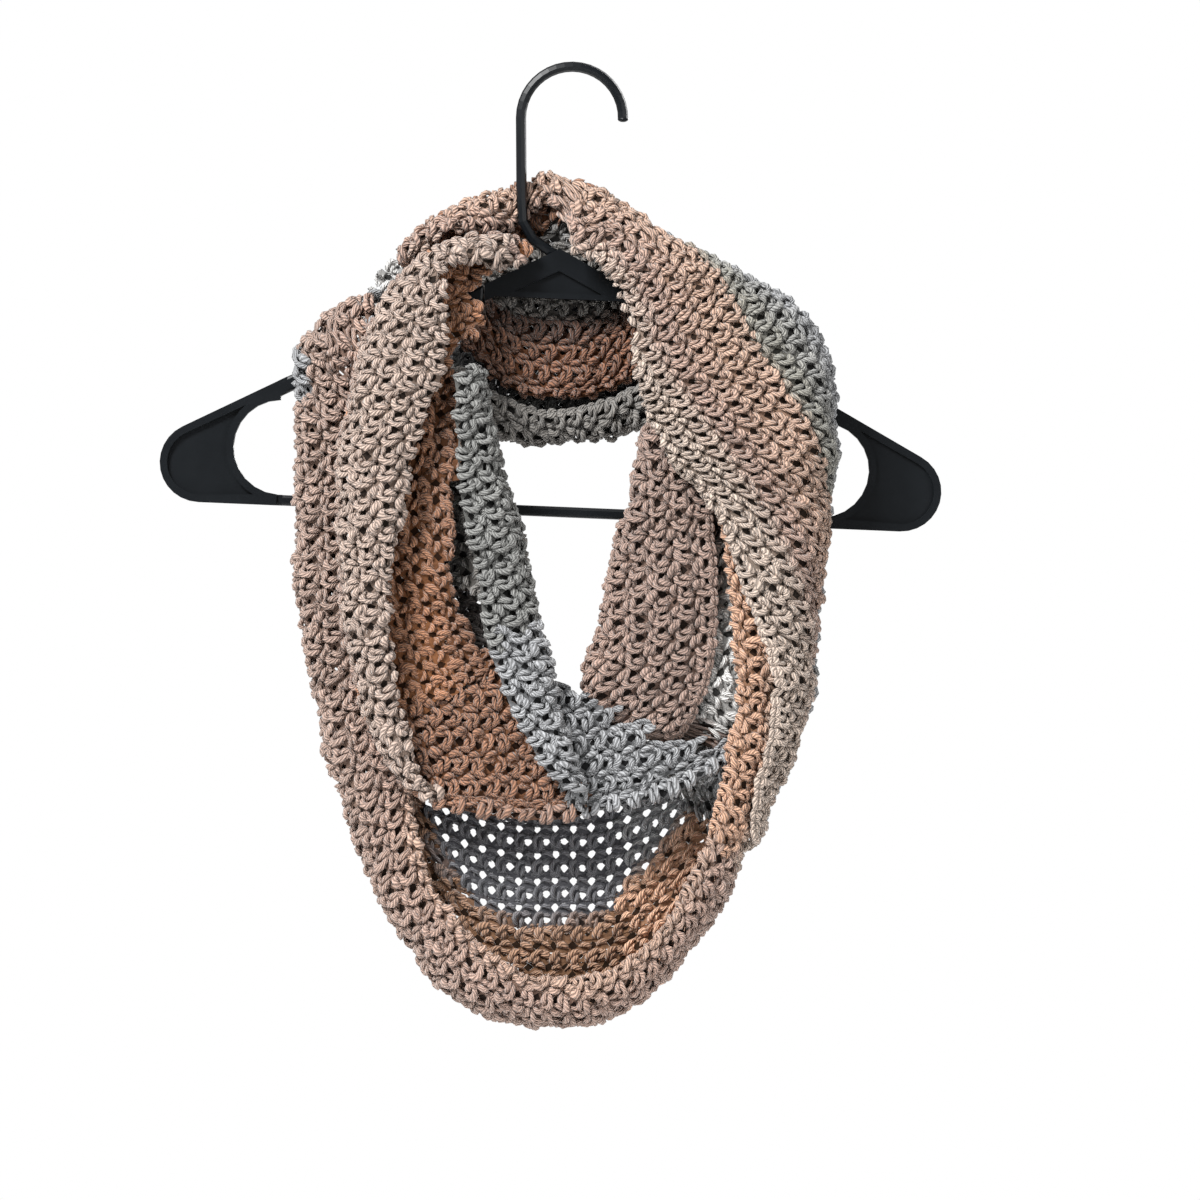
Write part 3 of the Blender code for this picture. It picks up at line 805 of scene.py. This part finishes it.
def crochet_stitch(name, height, turned, lean, ends, rings, thick=1.0):
    """One pitch of a row: a post and the chain beside it. Where the work is turned, it is mirrored
    along the row and in depth. Strands have as many sides as rings."""
    parts = post(height, lean, rings, rings, thick) + chain(*sorted(ends), height, rings, rings)
    if turned:
        parts = [(verts * (-1, 1, -1), *rest) for verts, *rest in parts]
    return stitch_object(name, parts)


def moss_stitch(kind, height, turned, rings):
    """A stitch that leans one way on both sides of the work."""
    side = -1.0 if turned else 1.0
    ends = (side * (PITCH + LEAN - 2.2), side * (LEAN + 1.6))
    return crochet_stitch(f"stitch_{kind}", height, turned, side * LEAN, ends, rings)


stitches = {kind: (moss_stitch(kind, TALL, False, rings), moss_stitch(kind, LOW, True, rings))
            for kind, rings in (("fine", 5), ("plain", 4))}
for kind, pair in stitches.items():
    print(kind, [triangles(stitch) for stitch in pair], "triangles a stitch")

# %% Wide mesh stitch
WIDE_PITCH, WIDE_ROW = 9.8, 7.1
WIDE_LEAN, WIDE_THICK = 0.4, 0.8


def wide_stitch(turned):
    """The looser stitch at the bottom of the long loop: a thin post, then a wide hole."""
    side = -1.0 if turned else 1.0
    ends = (1.8 * side, (WIDE_PITCH - 2.2) * side)
    return crochet_stitch("stitch_wide", WIDE_ROW, turned, WIDE_LEAN, ends, 4, WIDE_THICK)


stitches["wide"] = (wide_stitch(False), wide_stitch(True))
print("wide", [triangles(stitch) for stitch in stitches["wide"]], "triangles a stitch")

# %% Selvedge
EDGE_PITCH = 5.6


def edge_link():
    """One link of the braid that finishes a free edge: two ropes that lean into a V."""
    upper = [(-3.2, 0.2, -0.4), (-1.4, 1.5, 1.3), (0.9, 1.6, 1.9), (3.4, 0.3, 0.2)]
    lower = [(-3.0, 0.0, -0.7), (-1.2, -1.2, 0.8), (1.0, -1.5, 1.3), (3.6, -0.1, -0.1)]
    return stitch_object("selvedge_link", [strand(upper, 1.5, 5), strand(lower, 1.5, 5)])


stitches["edge"] = (edge_link(),) * 2
print("selvedge", triangles(stitches["edge"][0]), "triangles a link")

# %% Inner strands
# The inner layer is a flat sheet behind the stitches, coloured with painted shade; where its holes are
# filled, the filling faces are painted near black as the shade seen through a hole.
DEPTH = -0.4  # the inner layer lies this far behind the middle of the stitches, in mm
DEEPER = 0.3  # a face that fills a hole lies this much deeper
HOLE_RISE = 0.55  # a hole stands this much above the middle of its row


def hole_plate(name, width, height, hole, see_through):
    """A flat cell of the inner layer, in mm. Its hole, given as (centre, half width, half height),
    is left open or filled by a deeper face; the attribute deep is 1 on such a face, which the
    shader paints near black as painted shade."""
    centre, half, tall = hole
    middle = height / 2 + HOLE_RISE
    diamond = [(centre, middle - tall), (centre + half, middle),
               (centre, middle + tall), (centre - half, middle)]
    verts = [(x, y, DEPTH) for x, y in ((0, 0), (width, 0), (width, height), (0, height), *diamond)]
    faces = [(a, (a + 1) % 4, 4 + a) for a in range(4)]
    faces += [((a + 1) % 4, 4 + (a + 1) % 4, 4 + a) for a in range(4)]
    if not see_through:
        verts += [(x, y, DEPTH - DEEPER) for x, y in diamond]
        faces.append((8, 9, 10, 11))
    mesh = bpy.data.meshes.new(name)
    mesh.from_pydata(verts, [], faces)
    store(mesh, "deep", [float(index >= 8) for index in range(len(verts))])
    return bpy.data.objects.new(name, mesh)


# closed plates and the low plate fill their holes with faces of painted near-black shade; open and wide ones
# leave them open
LOW_PLATE = hole_plate("plate_low", PITCH, LOW, (PITCH / 2 + 0.1, 1.5, 1.2), False)
plates = {
    "open": (hole_plate("plate_tall", PITCH, TALL, (PITCH / 2, 1.6, 1.5), True), LOW_PLATE),
    "closed": (hole_plate("plate_closed", PITCH, TALL, (PITCH / 2 - 0.1, 2.5, 2.6), False), LOW_PLATE),
    "wide": (hole_plate("plate_wide", WIDE_PITCH, WIDE_ROW, (4.8, 2.4, 2.6), True),) * 2,
}
print("plates", {kind: len(pair[0].data.polygons) for kind, pair in plates.items()})

# %% [markdown]
# ## Laying the rows
#
# Geometry Nodes lays the flat stitches in rows and bends them onto the drape. A
# grid of points stands in the flat map, odd rows shifted. Points off the band
# are dropped by sampling the carrier at their place. The stitches are put on
# the points and realised, and then each vertex is moved to where the carrier's
# map says it lies, and out of the cloth by its own height.


# %% Short calls for nodes
class Wiring:
    """Adds nodes to one tree. Every call gives an output socket, or a place to take one from."""

    def __init__(self, tree):
        self.tree = tree

    def node(self, kind, links=(), **settings):
        return add_node(self.tree, kind, links, **settings).outputs

    def maths(self, operation, *values):
        return maths(self.tree, operation, *values)

    def vector(self, operation, first, second):
        links = {0: first, "Scale" if operation == "SCALE" else 1: second}
        return self.node("ShaderNodeVectorMath", links, operation=operation)[0]

    def split(self, vector):
        return self.node("ShaderNodeSeparateXYZ", {0: vector})

    def combine(self, x, y):
        return self.node("ShaderNodeCombineXYZ", {0: x, 1: y})[0]

    def opposite(self, flag):
        return self.node("FunctionNodeBooleanMath", {0: flag}, operation="NOT")[0]

    def above(self, bigger, smaller):
        return self.node("FunctionNodeCompare", {0: bigger, 1: smaller}, operation="GREATER_THAN")[0]

    def random(self, reach, seed):
        """A random vector within reach of zero each way."""
        links = {0: tuple(-size for size in reach), 1: reach, "Seed": seed}
        return self.node("FunctionNodeRandomValue", links, data_type="FLOAT_VECTOR")[0]

    def named(self, name, data_type="FLOAT"):
        return self.node("GeometryNodeInputNamedAttribute", {"Name": name}, data_type=data_type)[0]

    def store(self, geometry, name, value, data_type="FLOAT"):
        links = {"Geometry": geometry, "Name": name, "Value": value}
        return self.node("GeometryNodeStoreNamedAttribute", links, data_type=data_type)[0]

    def keep(self, geometry, selection):
        return self.node("GeometryNodeDeleteGeometry", {0: geometry, 1: self.opposite(selection)})[0]

    def sample(self, surface, name, place, data_type="FLOAT"):
        """A named value of the carrier at a place in its flat map, and whether the place is on it."""
        value = self.named(name, data_type) if name else self.node("GeometryNodeInputPosition")[0]
        links = {0: surface, 1: value, 2: self.named("flat", "FLOAT_VECTOR"), 3: place}
        return self.node("GeometryNodeSampleUVSurface", links, data_type=data_type)


print("node calls", [name for name in vars(Wiring) if name[0] != "_"])

# %% Sizes of the crochet group
INPUTS = {
    "Geometry": "Geometry", "Drape": "Object", "Stitch": "Object", "Turned stitch": "Object",
    "Columns": 10, "Rows": 10, "Pitch": PITCH, "Row height": TALL, "Turned row height": LOW,
    "Row shift": 0.5, "First along": 0.0, "First across": 0.0, "From along": 0.0, "To along": 1000.0,
    "From across": -1.0, "To across": 1000.0, "From stripe": -1000.0, "To stripe": 1000.0,
    "Distortion": 5.0, "Dye and light shift": 0.0, "Wander": 0.3, "Seed": 1, "Material": "Material",
}  # the default of each number, or the kind of the rest
print("inputs", len(INPUTS))


# %% Points of the rows
def row_points(wire, given):
    """The grid of points in the flat map, in mm, and which of them lie in odd rows."""
    count = wire.maths("MULTIPLY", given["Columns"], given["Rows"])
    index = wire.node("GeometryNodeInputIndex")[0]
    row = wire.maths("FLOOR", wire.maths("DIVIDE", wire.maths("ADD", index, 0.5), given["Columns"]))
    column = wire.maths("SUBTRACT", index, wire.maths("MULTIPLY", row, given["Columns"]))
    odd = wire.maths("MODULO", row, 2.0)
    shift = wire.maths("FRACT", wire.maths("MULTIPLY", row, given["Row shift"]))
    along = wire.maths("MULTIPLY_ADD", wire.maths("ADD", column, shift), given["Pitch"], given["First along"])
    pair = wire.maths("ADD", given["Row height"], given["Turned row height"])
    pairs = wire.maths("FLOOR", wire.maths("DIVIDE", wire.maths("ADD", row, 0.1), 2.0))
    foot = wire.maths("MULTIPLY_ADD", pairs, pair, given["First across"])
    across = wire.maths("ADD", foot, wire.maths("MULTIPLY", odd, given["Row height"]))
    links = {"Count": count, "Position": wire.combine(along, across)}
    return wire.node("GeometryNodePoints", links)[0], wire.above(odd, 0.5)


ROW_MIDDLE = (0.0, 2.5, 0.0)  # from the foot of a stitch to where it is tested, in mm


def choose_points(wire, given, surface, points, turned):
    """Drops the points that are off the band or past the limits, and marks the rest."""
    here = wire.node("GeometryNodeInputPosition")[0]
    middle = wire.vector("SCALE", wire.vector("ADD", here, ROW_MIDDLE), MM)
    inside, chosen = wire.sample(surface, "inside", middle)[:2]
    stripe = wire.sample(surface, "stripe", middle)[0]
    dye = wire.sample(surface, "dye", middle)[0]
    along, across = wire.split(here)[:2]
    for bigger, smaller in (
        (inside, 0.5), (along, given["From along"]), (given["To along"], along),
        (across, given["From across"]), (given["To across"], across),
        (stripe, given["From stripe"]), (given["To stripe"], stripe),
    ):
        links = {0: chosen, 1: wire.above(bigger, smaller)}
        chosen = wire.node("FunctionNodeBooleanMath", links, operation="AND")[0]
    # where the dye changes, and where painted light is laid on, the stripe steps on to a later tone
    shifted_stripe = wire.maths("MULTIPLY_ADD", wire.maths("ROUND", dye), given["Dye and light shift"], stripe)
    points = wire.store(points, "stripe", shifted_stripe)
    points = wire.store(points, "turned", turned, "BOOLEAN")
    luck = wire.node("FunctionNodeRandomValue", {"Seed": given["Seed"]}, data_type="FLOAT")[1]
    return wire.keep(wire.store(points, "tone", luck), chosen)


print("a stitch is tested", ROW_MIDDLE[1], "mm above its foot")

# %% Stitches on the points
NUDGE, TURN = (1.0, 1.0, 0.8), (0.25, 0.2, 0.36)  # greatest wander of a stitch, in mm and radians


def place_stitches(wire, given, points):
    """The stitches on their points, each a little off its place and turned a little, as one mesh."""
    nudge = wire.vector("SCALE", wire.random(NUDGE, given["Seed"]), given["Wander"])
    points = wire.node("GeometryNodeSetPosition", {"Geometry": points, "Offset": nudge})[0]
    turn = wire.vector("SCALE", wire.random(TURN, given["Seed"]), given["Wander"])
    turned = wire.named("turned", "BOOLEAN")
    joined = wire.node("GeometryNodeJoinGeometry")[0]
    for name, selection in (("Stitch", wire.opposite(turned)), ("Turned stitch", turned)):
        shape = wire.node("GeometryNodeObjectInfo", {"Object": given[name], "As Instance": True})["Geometry"]
        links = {"Points": points, "Selection": selection, "Instance": shape, "Rotation": turn}
        laid = wire.node("GeometryNodeInstanceOnPoints", links)[0]
        wire.tree.links.new(laid, joined.node.inputs[0])
    return wire.node("GeometryNodeRealizeInstances", {0: joined})[0]


print("a stitch wanders by up to", NUDGE, "mm")


# %% Bending onto the drape
def bend(wire, given, surface, flat):
    """Moves each vertex of the flat work to its place on the carrier."""
    here = wire.node("GeometryNodeInputPosition")[0]
    cloud = wire.node("ShaderNodeTexNoise", {"Vector": here, "Scale": 0.11, "Detail": 1.0})["Color"]
    cloud = wire.vector("ADD", cloud, (-0.5, -0.5, -0.5))
    cloud = wire.vector("MULTIPLY", cloud, (1.0, 1.0, 0.4))
    pulled = wire.split(wire.vector("ADD", here, wire.vector("SCALE", cloud, given["Distortion"])))
    along, across, height = (wire.maths("MULTIPLY", pulled[axis], MM) for axis in range(3))
    where = wire.combine(along, across)
    target, on = wire.sample(surface, "", where, "FLOAT_VECTOR")[:2]
    lift = wire.sample(surface, "lift", where, "FLOAT_VECTOR")[0]
    final = wire.vector("ADD", target, wire.vector("SCALE", lift, height))
    marked = wire.store(wire.store(flat, "final", final, "FLOAT_VECTOR"), "on", on, "BOOLEAN")
    links = {"Geometry": wire.keep(marked, wire.named("on", "BOOLEAN")),
             "Position": wire.named("final", "FLOAT_VECTOR")}
    return wire.node("GeometryNodeSetPosition", links)[0]


print("the carrier gives each vertex its position and lift")


# %% Crochet node group
def crochet_group():
    tree = bpy.data.node_groups.new("crochet", "GeometryNodeTree")
    wire = Wiring(tree)
    sockets = {}
    for name, value in INPUTS.items():
        kind = {int: "Int", float: "Float"}.get(type(value), value)
        made = tree.interface.new_socket(name, in_out="INPUT", socket_type=f"NodeSocket{kind}")
        if kind != value:
            made.default_value = value
        sockets[name] = made.identifier
    tree.interface.new_socket("Geometry", in_out="OUTPUT", socket_type="NodeSocketGeometry")
    given = wire.node("NodeGroupInput")
    surface = wire.node("GeometryNodeObjectInfo", {"Object": given["Drape"]})["Geometry"]
    points, turned = row_points(wire, given)
    points = choose_points(wire, given, surface, points, turned)
    bent = bend(wire, given, surface, place_stitches(wire, given, points))
    painted = wire.node("GeometryNodeSetMaterial", {"Geometry": bent, "Material": given["Material"]})[0]
    wire.node("NodeGroupOutput", {0: painted})
    return tree, sockets


crochet, crochet_inputs = crochet_group()
print("crochet nodes", len(crochet.nodes))


# %% Running the group
def lay_rows(name, material, **sizes):
    """Runs the crochet group with the given sizes and returns the result as a plain mesh."""
    holder = link_object(name, bpy.data.meshes.new(name))
    modifier = holder.modifiers.new("crochet", "NODES")
    modifier.node_group = crochet
    for key, value in {**sizes, "Material": material}.items():
        modifier[crochet_inputs[key]] = value
    graph = bpy.context.evaluated_depsgraph_get()
    mesh = bpy.data.meshes.new_from_object(
        holder.evaluated_get(graph), preserve_all_data_layers=True, depsgraph=graph)
    bpy.data.objects.remove(holder, do_unlink=True)
    for spare in ("final", "on", "turned"):
        if spare in mesh.attributes:
            mesh.attributes.remove(mesh.attributes[spare])
    return mesh


print("sizes", list(crochet_inputs))

# %% [markdown]
# ## The stretches
#
# Eleven stretches of the loop show. Each has its table, the sections it runs
# between, and its own stripes: first those of the front face, counted from the
# front edge of the band, then those behind the fold, counted from the fold. The
# outer part of a front face is worked in fine stitches, up to fine_to, and the
# rest, which lies in shadow, in plainer ones.

# %% Stretch table
ALL_FINE = 300
FRONT_END = REAR - 4.0  # the stripe up to which the last tone of a front face holds
OUTER_FRONT = "0 peach 18 rose 36 oat 70 oat"
TOP_FRONT = "0 fawn 22 fawn 38 rose 60 peach 76 peach 83 sage 112 mist"
INNER_FRONT = "0 beige 42 beige 54 taupe"
Stretch = namedtuple("Stretch", "rows first last seed fine_to stripes")


def stripes(front, rear):
    """The stripes of both faces, each given as a text of millimetres and tones, in one list."""
    cells = [text.split() for text in (front, rear)]
    front, rear = ([(float(at), tone) for at, tone in zip(each[::2], each[1::2])] for each in cells)
    return [*front, (FRONT_END, front[-1][1]), *((REAR + at, tone) for at, tone in rear)]


STRETCHES = {
    "outer_left": Stretch(OUTER_PASS, 0, 10, 11, 66, stripes(
        OUTER_FRONT, "0 oat 14 rose 50 coal 140 coal 200 mist 240 mist")),
    # on outer_bottom the right of the inner face steps to blush and mist: peach and grey yarn painted lighter
    # as light where the lamps leave it in shade
    "outer_bottom": Stretch(OUTER_PASS, 10, 17, 11, ALL_FINE, stripes(
        OUTER_FRONT, "0 oat 12 tan 46 tan 54 ash 140 ash 150 blush 200 blush 208 mist 300 mist")),
    # outer_right's rear face is light blue-grey yarn; from 40 mm behind the fold it is painted lighter, to
    # pale, as light in a deep pocket that the lamps leave in shade
    "outer_right": Stretch(OUTER_PASS, 17, 24, 11, 66, stripes(
        "0 apricot 20 apricot 32 fawn 60 fawn", "0 fawn 20 mist 40 pale 80 pale")),
    "over_hook": Stretch(TOP_PASS, 0, 3, 12, ALL_FINE, stripes(TOP_FRONT, "0 clay 40 clay")),
    "right_front": Stretch(TOP_PASS, 3, 19, 12, 118, stripes(
        TOP_FRONT, "0 mist 85 stone 250 stone 260 clay 450 clay")),
    # from 58 mm behind the fold the terracotta wall turns to clay: painted shade, deep in the short loop
    "inner_left": Stretch(INNER_PASS, 0, 11, 13, ALL_FINE, stripes(
        INNER_FRONT, "0 terracotta 44 terracotta 58 clay 90 clay")),
    "inner_bottom": Stretch(INNER_PASS, 11, 20, 13, ALL_FINE, stripes(
        INNER_FRONT, "0 clay 90 clay 120 mist 200 mist")),
    "neck_lip": Stretch(NECK_LIP, 0.5, 9, 14, 60, stripes(
        "0 grey 34 grey", "0 stone 50 stone 100 mist 200 mist")),
    # the upright strip behind the fold is light blue-grey yarn, painted near white as chalk for light where
    # the lamps leave it in shade
    "inner_right": Stretch(INNER_RIGHT, 0, 7, 15, ALL_FINE, stripes(
        "0 taupe 40 taupe 66 rose", "0 taupe 50 taupe 58 chalk 90 chalk")),
    # the sliver at the left steps to chalk: blue-grey yarn, painted near white as light where the lamps leave
    # it in shade
    "back_neck": Stretch(BACK_NECK, 0, 18, 16, 60, stripes(
        "0 stone 40 stone", "0 stone 60 mist 130 stone 240 stone 250 chalk 300 chalk")),
    "back_liner": Stretch(BACK_LINER, 0, 6, 17, ALL_FINE, stripes(
        "0 rust 6 rust", "0 rust 30 rust 35 umber 42 umber 48 stone 80 stone")),
}
print("stretches", list(STRETCHES))

# %% Dye changes and painted light
DYE_AND_LIGHT_SHIFT = {"outer_left": 400.0, "inner_bottom": 280.0, "outer_bottom": 150.0, "neck_lip": 300.0,
             "back_neck": 400.0, "right_front": 330.0}  # step of the stripe where the dye changes, and where painted light is laid on


def dye_and_light_change(name, drape):
    """Marks, by place in mm, where a stretch steps to a later tone of its stripes. On outer_left,
    inner_bottom and right_front that is the next dye of its yarn, and on neck_lip a lighter grey towards the
    bottom. On outer_bottom and back_neck it is painted light: a lighter tone where the lamps leave the cloth
    in shade.
    """
    x, z = drape.points[..., 0], drape.points[..., 2]
    behind = drape.stripe >= REAR
    changed = {
        "outer_left": (z > -180.0) & (z < -145.0) & (x < -142.0) | (z > -140.0) & (x > -110.0),
        "back_neck": (z > -150.0) & (x < -85.0),
        "right_front": (z > -100.0) & (x < 8.0) & behind,
        "inner_bottom": x > -19.0 + 0.41 * (-340.0 - z),
        "outer_bottom": (x > 26.0 + 4.0 * np.sin(z / 7.0)) & behind,
        "neck_lip": z < -305.0 + 6.0 * np.sin(x / 2.0),
    }
    return changed.get(name, np.zeros_like(x)).astype(float)


print("dyes change on", list(DYE_AND_LIGHT_SHIFT))

# %% Cut edges
NET_BORDER = ((-90, -330), (-82, -391), (-78, -421), (-66, -440), (-55, -453), (-28, -466), (-11, -465),
              (16, -458), (40, -435), (64, -405), (80, -380), (90, -330))  # x and z of the net's lower edge
WALL_EDGE = ((105, -52), (123, -50), (178, -56), (221, -63), (264, -67), (318, -38))  # -z and x
FOLD_TOP = ((0, -334), (15, -345), (32, -353), (50, -363), (64, -366), (83, -365))  # x, z
FOLD_TOP_FROM = 4.0  # the x at which the top edge of the fold starts
WALL_FROM = 20.0  # the rear wall may be cut this far behind the fold
REAR_FOOT = -404.0  # the rear face of the right front ends here


def at_line(line, where):
    return np.interp(where, *zip(*line))


def under_top(drape, drop=0.0):
    """The inside mark, cut along the top edge of the fold at the bottom of the short loop."""
    x, z = drape.points[..., 0], drape.points[..., 2]
    return drape.inside * ((z < at_line(FOLD_TOP, x) - drop) | (x < FOLD_TOP_FROM))


def cut_edges(name, drape):
    """The inside mark of a stretch, cut back where what lies behind it must show."""
    x, z = drape.points[..., 0], drape.points[..., 2]
    inside = drape.inside
    if name in ("inner_left", "inner_bottom"):
        wall = (drape.stripe >= REAR + WALL_FROM) & (-z > WALL_EDGE[0][0]) & (-z < WALL_EDGE[-1][0])
        inside = inside * ~(wall & (x > at_line(WALL_EDGE, -z)) & (x < 0.0))
    if name == "inner_bottom":
        inside = under_top(drape._replace(inside=inside))
    if name == "right_front":
        inside = inside * ((z > REAR_FOOT) | (drape.stripe < REAR))
    return inside


print("net border from", NET_BORDER[0], "to", NET_BORDER[-1])

# %% Level rows at the bottoms of the loops
LEVEL_POINTS = 44
LEVEL_BOW = 0.5  # share of the loop's own curve that the level rows keep
LEVEL_FROM = {"outer_bottom": 26.0, "inner_bottom": 4.0}  # they start this far behind the fold
LEVEL_SHIFT, LEVEL_LENGTH = 200.0, 400.0  # added to x, so that their map starts at zero, and its length
OVERLAP = 10.0  # their map starts this much nearer to the fold than they do
PAST_ENDS = 3.0  # they run on this far past the ends of the stretch
NET_FROM = 50.0  # the stripe at which the wide mesh starts
NET_BELOW, NET_ABOVE = 45.0, 90.0  # how far from the net's border the stripe follows it


def level_rows(drape, from_fold, border=()):
    """The surface behind the fold with a map whose rows lie level: x along, height across.
    A border of (x, z) makes the stripe count from that line instead."""
    columns = []
    behind = drape.stripe - REAR
    for i, run in enumerate(drape.across):
        even = np.linspace(run[np.argmax(behind[i] >= from_fold - OVERLAP)], run[-1], LEVEL_POINTS)
        values = [*drape.points[i].T, *drape.normal[i].T]
        values += [drape.along[i], drape.stripe[i], drape.dye[i], drape.inside[i]]
        columns.append([np.interp(even, run, value) for value in values])
    made = np.array(columns).transpose(0, 2, 1)
    points, normal = made[..., :3], made[..., 3:6]
    along, stripe, dye, inside = made[..., 6:].transpose(2, 0, 1)
    x, z = points[..., 0], points[..., 2]
    foot = np.array([line[np.argmin(line[:, 2])] for line in drape.points])
    order = np.argsort(foot[:, 0])
    base = np.interp(x, foot[order, 0], foot[order, 2])
    lowest = foot[:, 2].min()
    height = z - lowest - LEVEL_BOW * (base - lowest)
    inside = inside * (stripe - REAR >= from_fold)
    inside = inside * (along >= drape.start - PAST_ENDS) * (along <= drape.end + PAST_ENDS)
    if border:
        stripe = REAR + NET_FROM + np.clip(z - at_line(border, x), -NET_BELOW, NET_ABOVE)
    return Drape(points, normal, x + LEVEL_SHIFT, height, stripe, dye, inside, 0.0, LEVEL_LENGTH)


print("level rows on", list(LEVEL_FROM))

# %% Jobs in rows
Job = namedtuple("Job", "kind surface drape sizes")
STRIP_FROM = 54.0  # on the inner right a strip this far behind the fold runs upright
LAP, NET_LAP = 2.0, 3.0  # rows run on this far into the next kind, and the net into the rows beside it
LEVEL_SEED = 50  # added to the seed of a stretch for its level rows


def row_jobs(name, made, drape, surface, limits):
    """What is laid on a stretch in rows, apart from its braid."""
    turn = {**LEVEL_FROM, "inner_right": STRIP_FROM + LAP}.get(name)
    sizes = {**limits, "To stripe": REAR + turn} if turn else limits
    jobs = [Job("fine", surface, drape, {**sizes, "To across": float(made.fine_to)})]
    if made.fine_to < ALL_FINE:
        jobs.append(Job("plain", surface, drape, {**sizes, "From across": float(made.fine_to)}))
    if name in LEVEL_FROM:
        level = level_rows(drape, turn, NET_BORDER if name == "outer_bottom" else ())
        ground = carrier(f"carrier_{name}_level", level)
        low = {"Seed": made.seed + LEVEL_SEED, "Dye and light shift": limits["Dye and light shift"]}
        if name == "outer_bottom":
            jobs.append(Job("fine", ground, level, {**low, "To stripe": REAR + NET_FROM + LAP}))
            jobs.append(Job("wide", ground, level, {**low, "From stripe": REAR + NET_FROM - NET_LAP}))
        else:
            jobs.append(Job("fine", ground, level, low))
    if name == "inner_right":
        strip = drape._replace(along=-drape.points[..., 2], across=drape.stripe)
        sizes = {"From stripe": REAR + STRIP_FROM, "Seed": 5}
        jobs.append(Job("fine", carrier("carrier_strip", strip), strip, sizes))
    return jobs


print("a job has", Job._fields)

# %% Jobs of inner strands and braids
PLATES_SHORT = 7.0  # the inner strands of the right front end this much before it
PLATES_UNDER = 5.0  # those of the short loop's fold stop this much below its top edge
BRAIDED = ("outer_left", "outer_bottom", "outer_right", "right_front", "inner_right", "back_neck")
BRAID = {"First across": 0.6, "Wander": 0.3}


def plate_jobs(name, drape, jobs):
    """The same jobs for the inner strands, which end a little earlier where their end would show."""
    if name == "right_front":
        return [job._replace(sizes={**job.sizes, "To along": drape.end - PLATES_SHORT}) for job in jobs]
    if name == "inner_bottom":
        level = jobs[-1].drape
        under = carrier("carrier_under", level._replace(inside=under_top(level, PLATES_UNDER)))
        return [*jobs[:-1], jobs[-1]._replace(surface=under)]
    return jobs


def braid_jobs(name, drape, surface, limits):
    """The braid along the front edge, and round the lower end of the inner right."""
    jobs = [Job("edge", surface, drape, {**limits, **BRAID})] if name in BRAIDED else []
    if name == "inner_right":
        ended = drape._replace(along=drape.across, across=drape.end - drape.along)
        sizes = {"To stripe": REAR, "Seed": 3, **BRAID}
        jobs.append(Job("edge", carrier("carrier_end", ended), ended, sizes))
    return jobs


print("braided", list(BRAIDED))

# %% Laying one kind of stitch
OPEN_WORK = ("outer_left", "back_liner")
WANDER, WIDE_WANDER, PLATE_WANDER = 0.6, 0.3, 0.05  # share of the greatest wander that each one has
PULL, WIDE_PULL = 5.0, 2.0  # how far rows are pulled out of line, in mm


def lay_job(name, job, plate, material):
    """Rows of one kind of stitch or plate on a carrier."""
    wide, edge = job.kind == "wide", job.kind == "edge"
    if plate:
        pair = plates["wide" if wide else "open" if name in OPEN_WORK else "closed"]
    else:
        pair = stitches[job.kind]
    pitch = WIDE_PITCH if wide else EDGE_PITCH if edge else PITCH
    tall, low = (WIDE_ROW, WIDE_ROW) if wide else (TALL, LOW)
    first = (math.floor(job.drape.along.min() / pitch) - 1) * pitch
    return lay_rows(name, material, **{
        "Drape": job.surface, "Stitch": pair[0], "Turned stitch": pair[1],
        "Columns": int((job.drape.along.max() - first) / pitch) + 4,
        "Rows": 1 if edge else 2 * (int(job.drape.across.max() / (tall + low)) + 2),
        "Pitch": pitch, "Row height": tall, "Turned row height": low,
        "Row shift": 0.5 if wide else ROW_SHIFT, "First along": first,
        "Wander": PLATE_WANDER if plate else WIDE_WANDER if wide else WANDER,
        "Distortion": WIDE_PULL if wide else PULL, **job.sizes})


def join_meshes(name, meshes):
    """Several meshes as one object."""
    made = [link_object(name, mesh) for mesh in meshes if mesh.polygons]
    if len(made) > 1:
        with bpy.context.temp_override(active_object=made[0], selected_editable_objects=made):
            bpy.ops.object.join()
    return made[0]


print("stitches", list(stitches), "and plates", list(plates))


def lay_stretch(name, made):
    """The stitches and the inner strands of one stretch, and its number of triangles."""
    # the second material is the same yarn with painted shade, for the inner sheet
    paint, shaded_paint = yarn(name, made.stripes), yarn_shadow(name, made.stripes)
    drape = drape_grid(made.rows, made.first, made.last, made.seed)
    drape = drape._replace(dye=dye_and_light_change(name, drape), inside=cut_edges(name, drape))
    surface = carrier(f"carrier_{name}", drape)
    limits = {"From along": drape.start, "To along": drape.end, "Seed": made.seed,
              "Dye and light shift": DYE_AND_LIGHT_SHIFT.get(name, 0.0)}
    rows = row_jobs(name, made, drape, surface, limits)
    outer = rows + braid_jobs(name, drape, surface, limits)
    cloth = join_meshes(f"{name}_stitches", [lay_job(name, job, False, paint) for job in outer])
    deep = plate_jobs(name, drape, rows)
    inner = join_meshes(f"{name}_inner", [lay_job(name, job, True, shaded_paint) for job in deep])
    for piece in (cloth, inner):
        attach(piece, "root")
        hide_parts(name)
    area = area_of(drape)
    print(name, triangles(cloth), "and", triangles(inner), "triangles,", round(area, 4), "m2")
    return triangles(cloth) + triangles(inner)


total = 0
for name, made in STRETCHES.items():
    total += lay_stretch(name, made)
print("total", total, "triangles")

# %% [markdown]
# ## Sizes
#
# The dressed scarf stays inside the box of its solids but for the thickness of
# the yarn; at the end the view layer is brought up to date.

# %% Finish
bpy.context.view_layer.update()
